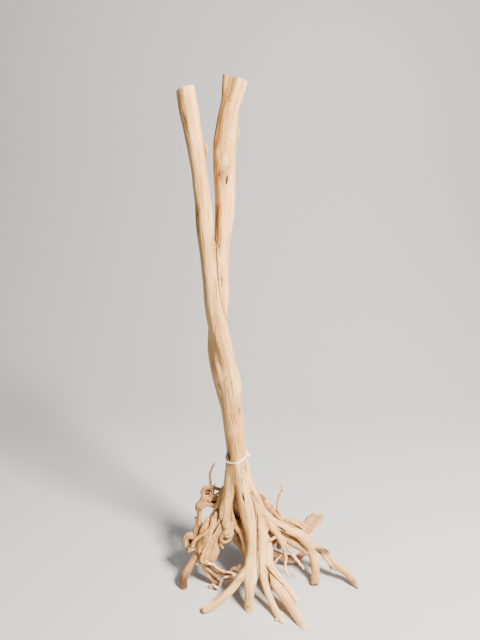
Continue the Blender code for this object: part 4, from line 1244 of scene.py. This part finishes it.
def rootlet(points, parents, seed):
    """A wavering tube: radius (1 + 0.14 noise), its middle moved sideways by noise too. Gives
    its points, its faces, and each point's place in its fibres."""
    strand = grow(points, parents, ROOTLET_STEP)
    length = strand["length"]
    run = np.stack([length * 0 + seed, length, length * 0], axis=1)
    loose = ease(length, 0, 0.012)[:, None]
    side = strand["radius"][:, None] * loose * 0.5
    strand["centres"] = strand["centres"] + side * (
        strand["across"] * noise(run, (1, .006, 1), 31)[:, None]
        + strand["aside"] * noise(run, (1, .007, 1), 32)[:, None])
    rings = tube_rings(strand, ROOTLET_ROUND, taper=POINTED)
    pad = len(POINTED)
    index = np.clip(np.arange(len(rings)) - pad, 0, len(strand["grown"]) - 1)
    out = rings - np.pad(strand["centres"], ((pad, pad), (0, 0)), mode="edge")[:, None]
    across = (out * strand["across"][index][:, None]).sum(-1)
    aside = (out * strand["aside"][index][:, None]).sum(-1)
    grown = np.repeat(strand["grown"][index][:, None], ROOTLET_ROUND, axis=1)
    grain = np.stack([across, aside, grown], axis=-1).reshape(-1, 3)
    knobs = 1 + 0.14 * noise(grain + seed, (.003, .003, .006), 33)
    knobs += 0.10 * noise(grain + seed, (.0012, .0012, .02), 34)
    flat_rings = (rings - out).reshape(-1, 3) + out.reshape(-1, 3) * knobs[:, None]
    return flat_rings, ring_faces(len(rings), ROOTLET_ROUND), grain


# web_shred and web_tangle lie in the shadow of shaded_web and carry the same painted shade, a dark rose and
# umber. The other tints are the wood's own tones.
ROOTLET_TINTS = {
    "rootlet_left_up": (.45, .25, 0), "rootlet_right_up": (.15, 0, 0), "string_upper": (.1, 0, 0),
    "string_lower": (.12, 0, 0), "web_shred": (.5, .6, 0), "web_tangle": (.5, .5, 0),
    "far_right_spur": (.4, .1, 0),
    "left_leg_shoot": (.1, .05, .1), "hanging_stub": (.3, 0, 0),
}
parents = list(strands.values())
parts, grains, tints = [], [], []
for seed, (name, route) in enumerate(ROOTLETS.items()):
    shape, faces, grain = rootlet(route, parents, seed)
    parts.append((shape, faces))
    grains.append(grain)
    tints.append(np.tile(ROOTLET_TINTS.get(name, (.05, 0, .05)), (len(grain), 1)))
rootlets = mesh_from("rootlets", *joined(parts))
rootlets.data.shade_smooth()


def plain_attributes(obj, grain, tint, torn):
    """The same attributes as the wood's, for a piece whose fibres are known already."""
    none = np.zeros(len(grain))
    set_attribute(obj.data, "grain", grain)
    set_attribute(obj.data, "tint", tint)
    set_attribute(obj.data, "hollow", none)
    set_attribute(obj.data, "split", none)
    set_attribute(obj.data, "torn", none + torn)


plain_attributes(rootlets, np.vstack(grains), np.vstack(tints), 0.0)
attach(rootlets, "root")
print("rootlets:", len(ROOTLETS), "with", len(rootlets.data.polygons), "faces")

# %% [markdown]
# Where a root tore off, bundles of fibres stand out of the break. Each is a thin blade that
# starts inside the wood, leans a little away from the root's own direction and ends in a
# point. The draws are seeded, so that every run gives the same blades.
# %% Torn fibres
FIBRES = {       # for each strand: how many, their length, and how far they lean
    "torn_flare": (5, .0030, .30), "right_root": (18, .0028, .25), "left_leg": (26, .0040, .30),
    "back_right_end": (18, .0070, .25), "far_right": (12, .0040, .50), "under_left_short": (12, .0030, .35),
    "upper_tip": (10, .0055, .40), "upper_tip_low": (9, .0050, .40), "upper_tip_back": (9, .0050, .40),
    "flap_edge": (8, .0040, .50), "left_strand": (10, .0030, .40), "left_strand_split": (6, .0030, .40),
}
FIBRE_RINGS = 6
FIBRE_SIDES = 5
FIBRE_SUNK = 0.004             # how deep in the wood a blade starts
FIBRE_FLOOR = 0.0002
FIBRE_TORN = 0.35


def fibre_bundle(strand, count, length, lean, chance):
    """Blades round a strand's end: base + way t + bend t2, as wide as (1-t)^0.7, for t from 0 to 1."""
    t = np.linspace(0, 1, FIBRE_RINGS)[None, :, None, None]
    angle = chance.uniform(0, 2 * np.pi, count)
    reach = strand["radius"][-1] * np.sqrt(chance.uniform(0.15, 0.92, count))
    end, ahead, across, aside = (strand[key][-1] for key in ("centres", "ahead", "across", "aside"))
    out = reach[:, None] * (np.cos(angle)[:, None] * across + np.sin(angle)[:, None] * aside)
    long = length * chance.uniform(0.45, 1.35, count)[:, None]
    base = end + out - ahead * FIBRE_SUNK
    way = ahead * (long + FIBRE_SUNK) + unit(out) * lean * long * chance.uniform(-0.3, 1, (count, 1))
    bend = chance.normal(0, 0.22, (count, 3)) * long
    wide = chance.uniform(0.00035, 0.00095, count)[:, None, None, None] * (1.02 - t) ** 0.7
    turn = np.linspace(0, 2 * np.pi, FIBRE_SIDES, endpoint=False)[None, None, :, None]
    roll = chance.uniform(0, 2 * np.pi, count)[:, None, None, None]
    side = unit(np.cross(way, ahead + across))[:, None, None]
    other = unit(np.cross(way, side[:, 0, 0]))[:, None, None]
    ring = np.cos(turn + roll) * side * wide + np.sin(turn + roll) * other * wide * 0.45
    middle = base[:, None, None] + way[:, None, None] * t + bend[:, None, None] * t ** 2
    return middle + ring


chance = np.random.default_rng(7)
parts = []
for strand in strands.values():
    if strand["kind"] in FIBRES:
        for blade in fibre_bundle(strand, *FIBRES[strand["kind"]], chance):
            parts.append((blade.reshape(-1, 3), ring_faces(FIBRE_RINGS, FIBRE_SIDES)))
fibre_points, fibre_faces = joined(parts)
fibre_points[:, 2] = np.maximum(fibre_points[:, 2], FIBRE_FLOOR)
fibres = mesh_from("torn_fibres", fibre_points, fibre_faces)
fibres.data.shade_smooth()
fibre_place = along_strands(fibre_points)
plain_attributes(fibres, fibre_place["grain"], fibre_place["tint"], FIBRE_TORN)
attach(fibres, "root")
print("torn fibres:", len(parts))

# %% [markdown]
# The cable tie is moulded nylon. Its strap lies on the smallest loop without hollows round
# the trunk: for each direction, the loop reaches as far as the wood does. A rounded
# rectangle is carried along that loop. The head is one wall carried round a slot, and the
# snipped end of the strap comes out of that slot.
# %% Cable tie
TIE_MIDDLE = np.array([-0.008, 0.0, 0.2605]) - MIDDLE
TIE_SLOPE_RIGHT = 0.30
TIE_SLOPE_FRONT = -0.11
TIE_WIDTH = 0.0036
TIE_THICKNESS = 0.0010
TIE_CLEAR = 0.00015
TIE_STEPS = 240
TIE_SMOOTHED = 24              # rounds that take the corners off the loop
TIE_NEAR = 0.05
TIE_SHARP = math.radians(40)
BLOCK_SIDES, BLOCK_RINGS = 24, 3
BLOCK_INSET = 0.0012           # the block inside the head stays this far from its outside
TIE_HEAD = np.array([0.0062, 0.0056, 0.0052])     # along the strap, up, out from the trunk
TIE_WALL = 0.0011
TIE_TAIL = 0.0085
TIE_HEAD_ANGLE = math.radians(-22)

tie_right = unit(np.array([1, 0, TIE_SLOPE_RIGHT]))
tie_normal = unit(np.cross(tie_right, [0, 1, -TIE_SLOPE_FRONT]))
tie_back = np.cross(tie_normal, tie_right)


def tie_loop(points):
    """The loop's reach h(a) is the furthest that the wood goes in direction a. The loop lies at
    h (cos a, sin a) + h' (-sin a, cos a), where h' is the rate of change of h."""
    near = points - TIE_MIDDLE
    near = near[(np.abs(near @ tie_normal) < 0.7 * TIE_WIDTH) & (np.linalg.norm(near, axis=1) < TIE_NEAR)]
    angle = np.linspace(0, 2 * np.pi, TIE_STEPS, endpoint=False)
    ways = np.outer(np.cos(angle), tie_right) + np.outer(np.sin(angle), tie_back)
    reach = (near @ ways.T).max(0)
    smooth = reach
    for _ in range(TIE_SMOOTHED):
        smooth = (np.roll(smooth, 1) + 2 * smooth + np.roll(smooth, -1)) / 4
    reach = smooth + (reach - smooth).max() + TIE_CLEAR
    rate = (np.roll(reach, -1) - np.roll(reach, 1)) / (2 * angle[1])
    flat = reach[:, None] * ways + rate[:, None] * (
        np.outer(-np.sin(angle), tie_right) + np.outer(np.cos(angle), tie_back))
    return TIE_MIDDLE + flat, ways


def rounded_rectangle(half_wide, half_high, sides=20, power=6):
    """|x/a|^n + |y/b|^n = 1, a rectangle whose corners are round: x = a |cos t|^(2/n) sign(cos t)."""
    t = np.linspace(0, 2 * np.pi, sides, endpoint=False) + np.pi / sides
    return np.stack([half_wide * np.abs(np.cos(t)) ** (2 / power) * np.sign(np.cos(t)),
                     half_high * np.abs(np.sin(t)) ** (2 / power) * np.sign(np.sin(t))], axis=1)


def closed_grid_faces(rows, columns):
    """Quads of a grid that closes in both directions."""
    index = np.arange(rows * columns).reshape(rows, columns)
    below, beside = np.roll(index, -1, axis=0), np.roll(index, -1, axis=1)
    return np.stack([index, beside, np.roll(below, -1, axis=1), below], axis=-1).reshape(-1, 4).tolist()


loop, ways = tie_loop(solid["root_wood_fine"])
profile = rounded_rectangle(TIE_THICKNESS / 2, TIE_WIDTH / 2)
strap_points = (loop[:, None] + ways[:, None] * (profile[:, :1] + TIE_THICKNESS / 2)
                + tie_normal * profile[:, 1:]).reshape(-1, 3)
strap = mesh_from("tie_strap", strap_points, closed_grid_faces(len(loop), len(profile)))

head_at = round((TIE_HEAD_ANGLE % math.tau) / math.tau * TIE_STEPS) % TIE_STEPS
head_out = ways[head_at]
head_along = np.cross(tie_normal, head_out)
head_axes = np.stack([head_along, tie_normal, head_out])


def head_wall(turns=64, around=20):
    """A wall carried round a slot: for each turn, its middle is on a rounded rectangle, and its
    own section is a smaller rounded rectangle as high as the head."""
    section = rounded_rectangle(TIE_WALL / 2, TIE_HEAD[2] / 2, around, 7)
    route = rounded_rectangle(TIE_HEAD[0] / 2 - TIE_WALL / 2, TIE_HEAD[1] / 2 - TIE_WALL / 2, turns, 5)
    ahead = unit(np.roll(route, -1, axis=0) - np.roll(route, 1, axis=0))
    out = np.stack([ahead[:, 1], -ahead[:, 0]], axis=1)
    flat = route[:, None] + out[:, None] * section[:, :1]
    high = np.broadcast_to(section[:, 1], flat.shape[:2])[..., None]
    return np.concatenate([flat, high], axis=-1)


head = head_wall()
head_foot = loop[head_at] + head_out * (TIE_HEAD[2] / 2 + 0.0001)
head_points = (head.reshape(-1, 3) @ head_axes) + head_foot
head_faces = closed_grid_faces(*head.shape[:2])


def tail_strip(rings=26, sides=20):
    """The strap's free end: a rounded rectangle carried out of the head. Small teeth press
    into its inner face, and its tip is cut at a slant."""
    t = np.linspace(0, 1, rings)
    section = rounded_rectangle(TIE_THICKNESS / 2, TIE_WIDTH / 2 * 0.9, sides)
    teeth = 1 - 0.28 * (np.sin(t * rings * 1.2) > 0)
    wide = section[None, :, 0] * np.where(section[None, :, 0] < 0, teeth[:, None], 1)
    slant = 0.0012 * t[:, None] ** 6 * section[None, :, 1] / (TIE_WIDTH / 2)
    out = t[:, None] * TIE_TAIL + slant
    return np.stack([wide + 0.00075, np.broadcast_to(section[None, :, 1], wide.shape), out], axis=-1)


tail = tail_strip()
tail_points = (tail.reshape(-1, 3) @ head_axes) + loop[head_at] + head_out * 0.0008
tail_faces = ring_faces(*tail.shape[:2])
block_half = TIE_HEAD[:2] / 2 - BLOCK_INSET
block_section = rounded_rectangle(*block_half, BLOCK_SIDES, 5)
block_high = np.linspace(-TIE_HEAD[2] / 2 + 0.0002, TIE_HEAD[2] / 2 - 0.0016, BLOCK_RINGS)
block_shape = (BLOCK_RINGS, BLOCK_SIDES)
block = np.concatenate([np.broadcast_to(block_section[None] * [0.98, 1], (*block_shape, 2)),
                        np.broadcast_to(block_high[:, None, None], (*block_shape, 1))], axis=-1)
block_points = (block.reshape(-1, 3) @ head_axes) + head_foot
tie_head = mesh_from("tie_head", *joined([(head_points, head_faces),
                                          (block_points, ring_faces(*block_shape))]))
tie_tail = mesh_from("tie_tail", tail_points, tail_faces)
for piece in (strap, tie_head, tie_tail):
    bm = bmesh.new()
    bm.from_mesh(piece.data)
    bmesh.ops.recalc_face_normals(bm, faces=bm.faces[:])
    bm.to_mesh(piece.data)
    bm.free()
    piece.data.shade_smooth()
    piece.data.set_sharp_from_angle(angle=TIE_SHARP)
    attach(piece, "root")
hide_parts("cable_tie")
round_loop = np.linalg.norm(np.roll(loop, -1, 0) - loop, axis=1).sum()
print("tie loop:", round(float(round_loop) * 1000, 1), "mm round")

# %% [markdown]
# The colour of peeled wood comes from its fibres: long pale and tan streaks, and fine lines
# that run the same way. Both are noise read at the place in the fibres, pressed together
# along them, so one shader node group makes them for every wood material here.
# %% Node helpers, and the group for the fibres
def node(tree, kind, inputs=None, **settings):
    """A node with its settings, and inputs that are values or sockets of other nodes."""
    made = tree.nodes.new("ShaderNode" + kind)
    for name, value in settings.items():
        setattr(made, name, value)
    for name, value in (inputs or {}).items():
        if isinstance(value, bpy.types.NodeSocket):
            tree.links.new(value, made.inputs[name])
        else:
            made.inputs[name].default_value = value
    return made


def maths(tree, operation, a, b=0.0, clamp=False):
    return node(tree, "Math", {0: a, 1: b}, operation=operation, use_clamp=clamp).outputs[0]


def spread(tree, value, low, high, out_low=0.0, out_high=1.0):
    """The value's range from low to high as a range from out_low to out_high, held at both ends."""
    return node(tree, "MapRange", {"Value": value, "From Min": low, "From Max": high,
                                   "To Min": out_low, "To Max": out_high}).outputs["Result"]


def mix(tree, share, a, b, blend="MIX"):
    made = node(tree, "Mix", {0: share, 6: a, 7: b}, data_type="RGBA", blend_type=blend)
    return made.outputs[2]


def attribute(tree, name):
    return node(tree, "Attribute", attribute_name=name)


def group(name, inputs, outputs):
    tree = bpy.data.node_groups.new(name, "ShaderNodeTree")
    for label, kind in inputs:
        tree.interface.new_socket(label, in_out="INPUT", socket_type="NodeSocket" + kind)
    for label, kind in outputs:
        tree.interface.new_socket(label, in_out="OUTPUT", socket_type="NodeSocket" + kind)
    return tree, tree.nodes.new("NodeGroupInput").outputs, tree.nodes.new("NodeGroupOutput")


ALONG = 0.06             # one step along the fibres counts for this much of a step across


def fibre_group():
    """Patches about 30 mm wide, streaks of 8 mm, fibres of 1 mm, fine fibres, dark specks, and
    drawn lines, which lie where a stretched noise crosses its middle value."""
    results = [(label, "Float") for label in ("Patch", "Streak", "Fibre", "Fine", "Speck", "Line")]
    tree, given, result = group("wood_fibres", [("Place", "Vector")], results)

    def pressed(along):
        by = {0: given["Place"], 1: (1, 1, along)}
        return node(tree, "VectorMath", by, operation="MULTIPLY").outputs[0]

    def cloud(vector, scale, detail, rough):
        inputs = {"Vector": vector, "Scale": scale, "Detail": detail, "Roughness": rough}
        return node(tree, "TexNoise", inputs).outputs["Fac"]

    fibres_way = pressed(ALONG)
    patch = cloud(pressed(0.25), 34, 2, 0.5)
    streak = cloud(fibres_way, 125, 3, 0.55)
    fibre = cloud(fibres_way, 620, 3, 0.6)
    fine = cloud(fibres_way, 2300, 2, 0.6)
    cells = node(tree, "TexVoronoi", {"Vector": pressed(0.4), "Scale": 95, "Randomness": 1})
    chosen = node(tree, "SeparateColor", {0: cells.outputs["Color"]}).outputs[0]
    near = spread(tree, cells.outputs["Distance"], 0.05, 0.10, 1, 0)
    speck = maths(tree, "MULTIPLY", near, spread(tree, chosen, 0.72, 0.78))
    off = maths(tree, "ABSOLUTE", maths(tree, "SUBTRACT", cloud(fibres_way, 150, 1, 0.5), 0.5))
    line = maths(tree, "MULTIPLY", spread(tree, off, 0.003, 0.030, 1, 0), spread(tree, patch, 0.42, 0.58))
    for (label, _), value in zip(results, (patch, streak, fibre, fine, speck, line)):
        tree.links.new(value, result.inputs[label])
    return tree


def new_material(name):
    """An empty material, with its node tree and its shader."""
    mat = bpy.data.materials.new(name)
    mat.use_nodes = True
    return mat, mat.node_tree, mat.node_tree.nodes["Principled BSDF"]


def bumped(tree, shader, height, strength, distance):
    """Let the shader's normal follow a height."""
    bumps = node(tree, "Bump", {"Strength": strength, "Distance": distance, "Height": height})
    tree.links.new(bumps.outputs[0], shader.inputs["Normal"])


wood_fibres = fibre_group()
print("group:", wood_fibres.name)

# %% [markdown]
# The tints, the hollows and the splits are laid over the fibres in turn: the rose, umber and
# straw tints, which are the wood's own tones on most strands and painted shade on a few, then
# painted shade in the hollows, a dark brown, and last the dark of the splits. A high ridge is
# rubbed a little paler.
# %% Wood materials
PALE = (0.90, 0.587, 0.262, 1)
TAN = (0.47, 0.247, 0.090, 1)
STRAW = (0.44, 0.238, 0.060, 1)
ROSE = (0.31, 0.130, 0.074, 1)
UMBER = (0.070, 0.032, 0.013, 1)
# the dark brown of the painted shade in the hollows
HOLLOW_SHADE = (0.080, 0.038, 0.017, 1)
SPLIT = (0.012, 0.006, 0.003, 1)
RUBBED = (0.93, 0.64, 0.33, 1)
TORN = (0.26, 0.120, 0.048, 1)
THIN_PALE = (0.84, 0.58, 0.36, 1)
THIN_TAN = (0.56, 0.33, 0.17, 1)
RING_PALE = (0.70, 0.50, 0.31, 1)
RING_DARK = (0.46, 0.285, 0.15, 1)
PORE = (0.36, 0.22, 0.12, 1)


def wood_material(name, pale, tan, bump):
    mat, tree, shader = new_material(name)
    place = attribute(tree, "grain").outputs["Vector"]
    fibres = node(tree, "Group", node_tree=wood_fibres)
    tree.links.new(place, fibres.inputs["Place"])
    keys = ("Patch", "Streak", "Fibre", "Fine", "Speck", "Line")
    patch, streak, fibre, fine, speck, line = (fibres.outputs[key] for key in keys)
    tint = node(tree, "SeparateXYZ", {0: attribute(tree, "tint").outputs["Vector"]}).outputs
    hollow = attribute(tree, "hollow").outputs["Fac"]
    split = attribute(tree, "split").outputs["Fac"]
    torn = attribute(tree, "torn").outputs["Fac"]
    uneven = spread(tree, fibre, 0.32, 0.68, 0.55, 1.25)
    colour = mix(tree, spread(tree, streak, 0.38, 0.64), pale, tan)
    colour = mix(tree, spread(tree, patch, 0.50, 0.68, 0, 0.60), colour, STRAW)
    colour = mix(tree, spread(tree, patch, 0.46, 0.30, 0, 0.35), colour, ROSE)
    colour = mix(tree, maths(tree, "MULTIPLY", line, 0.50), colour, UMBER)
    colour = mix(tree, maths(tree, "MULTIPLY", tint["Z"], uneven, clamp=True), colour, STRAW)
    colour = mix(tree, maths(tree, "MULTIPLY", tint["X"], uneven, clamp=True), colour, ROSE)
    colour = mix(tree, maths(tree, "MULTIPLY", tint["Y"], uneven, clamp=True), colour, UMBER)
    colour = mix(tree, spread(tree, fibre, 0.25, 0.48, 0.16, 0), colour, tan)
    rubbed = spread(tree, hollow, -0.35, -1.0, 0, 0.25)
    colour = mix(tree, rubbed, colour, RUBBED)
    # painted shade: the hollows, the furrows and the gaps between strands are darkened towards a dark brown
    painted_hollow_shade = maths(tree, "MULTIPLY", spread(tree, hollow, 0.03, 0.42, 0, 0.92), uneven, clamp=True)
    colour = mix(tree, painted_hollow_shade, colour, HOLLOW_SHADE)
    ragged = maths(tree, "MULTIPLY", torn, spread(tree, fibre, 0.35, 0.65, 0.15, 0.95), clamp=True)
    colour = mix(tree, ragged, colour, TORN)
    colour = mix(tree, maths(tree, "MULTIPLY", speck, 0.55), colour, UMBER)
    colour = mix(tree, spread(tree, split, 0.10, 0.45, 0, 0.75), colour, UMBER)
    colour = mix(tree, spread(tree, split, 0.40, 0.95, 0, 0.90), colour, SPLIT)
    tree.links.new(colour, shader.inputs["Base Color"])
    rough = maths(tree, "ADD", spread(tree, fibre, 0.3, 0.7, 0.60, 0.74), maths(tree, "MULTIPLY", torn, 0.12))
    tree.links.new(rough, shader.inputs["Roughness"])
    height = maths(tree, "ADD", maths(tree, "MULTIPLY", fibre, 0.7), maths(tree, "MULTIPLY", fine, 0.3))
    sunk = maths(tree, "MULTIPLY", maths(tree, "MAXIMUM", speck, line), 0.5)
    height = maths(tree, "SUBTRACT", height, sunk)
    bumped(tree, shader, height, 0.7, bump)
    shader.inputs["Specular IOR Level"].default_value = 0.32
    return mat


def end_grain_material():
    """Growth rings by the distance from the pith, fine pores, a darker middle, and dark cracks."""
    mat, tree, shader = new_material("end_grain")
    place = attribute(tree, "grain").outputs["Vector"]
    flat = node(tree, "VectorMath", {0: place, 1: (1, 1, 0)}, operation="MULTIPLY").outputs[0]
    waver = node(tree, "TexNoise", {"Vector": flat, "Scale": 170, "Detail": 2}).outputs["Fac"]
    out = node(tree, "VectorMath", {0: flat}, operation="LENGTH").outputs["Value"]
    turns = maths(tree, "ADD", maths(tree, "MULTIPLY", out, 5200), maths(tree, "MULTIPLY", waver, 9))
    ring = maths(tree, "SINE", turns)
    pores = node(tree, "TexNoise", {"Vector": flat, "Scale": 3200, "Detail": 2}).outputs["Fac"]
    colour = mix(tree, spread(tree, ring, -0.4, 0.9), RING_PALE, RING_DARK)
    colour = mix(tree, spread(tree, pores, 0.42, 0.62, 0, 0.35), colour, PORE)
    colour = mix(tree, spread(tree, out, 0.0026, 0.0008, 0, 0.7), colour, UMBER)
    cracks = spread(tree, attribute(tree, "hollow").outputs["Fac"], 0.15, 0.8, 0, 0.9)
    colour = mix(tree, cracks, colour, SPLIT)
    tree.links.new(colour, shader.inputs["Base Color"])
    shader.inputs["Roughness"].default_value = 0.8
    shader.inputs["Specular IOR Level"].default_value = 0.25
    height = maths(tree, "ADD", maths(tree, "MULTIPLY", ring, 0.3), pores)
    bumped(tree, shader, height, 0.5, 0.0002)
    return mat


peeled = wood_material("peeled_wood", PALE, TAN, 0.0006)
thin_wood = wood_material("rootlet_wood", THIN_PALE, THIN_TAN, 0.0003)
end_grain = end_grain_material()
for wood in woods.values():
    wood.data.materials.append(peeled)
    wood.data.materials.append(end_grain)
rootlets.data.materials.append(thin_wood)
fibres.data.materials.append(peeled)
print("wood materials:", peeled.name, end_grain.name, thin_wood.name)

# %% [markdown]
# Nylon is white, a little milky, and smooth from its mould, with the faintest unevenness.
# %% Nylon
MILKY = (0.90, 0.90, 0.88, 1)
GREYER = (0.83, 0.83, 0.82, 1)


def nylon_material():
    mat, tree, shader = new_material("white_nylon")
    place = node(tree, "TexCoord").outputs["Object"]
    cloudy = node(tree, "TexNoise", {"Vector": place, "Scale": 260, "Detail": 2}).outputs["Fac"]
    colour = mix(tree, spread(tree, cloudy, 0.35, 0.65), MILKY, GREYER)
    tree.links.new(colour, shader.inputs["Base Color"])
    tree.links.new(spread(tree, cloudy, 0.35, 0.65, 0.28, 0.40), shader.inputs["Roughness"])
    shader.inputs["Subsurface Weight"].default_value = 0.15
    shader.inputs["Subsurface Scale"].default_value = 0.002
    bumped(tree, shader, cloudy, 0.15, 0.0002)
    return mat


nylon = nylon_material()
for piece in (strap, tie_head, tie_tail):
    piece.data.materials.append(nylon)
print("nylon on", [piece.name for piece in (strap, tie_head, tie_tail)])

# %% [markdown]
# The stage is a pale floor that curves up into a backdrop: an arc joins the flat to the
# upright. The light is soft: a large window-like lamp from the front right and above, a
# weaker one from the left, and a pale sky.
# %% Stage and light
FLOOR_HALF = 2.2
BACK_AT = 1.6
SWEEP_RADIUS = 0.9
BACK_HEIGHT = 2.6
FLOOR_DROP = 0.0004            # the floor lies this far under the feet
PAPER = (0.40, 0.42, 0.445, 1)
SKY = (0.94, 0.94, 0.95, 1)
SKY_STRENGTH = 0.17


def sweep_profile(steps=24):
    """Flat, then a quarter circle, then upright: (y, z) along the sweep."""
    turn = np.linspace(0, np.pi / 2, steps)
    arc = np.stack([BACK_AT - SWEEP_RADIUS + SWEEP_RADIUS * np.sin(turn),
                    SWEEP_RADIUS * (1 - np.cos(turn))], axis=1)
    return np.vstack([[-FLOOR_HALF, 0], arc, [BACK_AT, BACK_HEIGHT]])


profile = sweep_profile()
across = np.array([-FLOOR_HALF, FLOOR_HALF])
grid = np.stack([np.broadcast_to(across[None], (len(profile), 2)),
                 np.broadcast_to(profile[:, :1], (len(profile), 2)),
                 np.broadcast_to(profile[:, 1:], (len(profile), 2))], axis=-1).reshape(-1, 3)
grid[:, 2] -= FLOOR_DROP
index = np.arange(len(grid)).reshape(-1, 2)
sweep_faces = np.stack([index[:-1, 0], index[:-1, 1], index[1:, 1], index[1:, 0]], axis=1)
stage = mesh_from("stage_floor", grid, sweep_faces.tolist())
stage.data.shade_smooth()
paper, _, paper_shader = new_material("pale_paper")
paper_shader.inputs["Base Color"].default_value = PAPER
paper_shader.inputs["Roughness"].default_value = 0.85
stage.data.materials.append(paper)


def area_light(name, place, aim, size, power, colour):
    light = bpy.data.lights.new(name, "AREA")
    light.shape, light.size, light.energy, light.color = "DISK", size, power, colour
    obj = bpy.data.objects.new(name, light)
    obj.location = place
    obj.rotation_euler = (Vector(aim) - Vector(place)).to_track_quat("-Z", "Y").to_euler()
    bpy.context.scene.collection.objects.link(obj)


area_light("window", (0.85, -0.85, 1.75), (0, 0, 0.40), 0.50, 250, (1.0, 0.88, 0.74))
area_light("fill", (-1.6, -1.3, 1.1), (0, 0, 0.4), 1.4, 6, (0.90, 0.95, 1.0))
area_light("top", (0.1, 0.3, 2.3), (0, 0, 0.3), 1.2, 12, (1.0, 0.92, 0.82))
sky = bpy.data.worlds.new("pale_sky")
sky.use_nodes = True
sky.node_tree.nodes["Background"].inputs["Color"].default_value = SKY
sky.node_tree.nodes["Background"].inputs["Strength"].default_value = SKY_STRENGTH
bpy.context.scene.world = sky
print("stage and light are set")
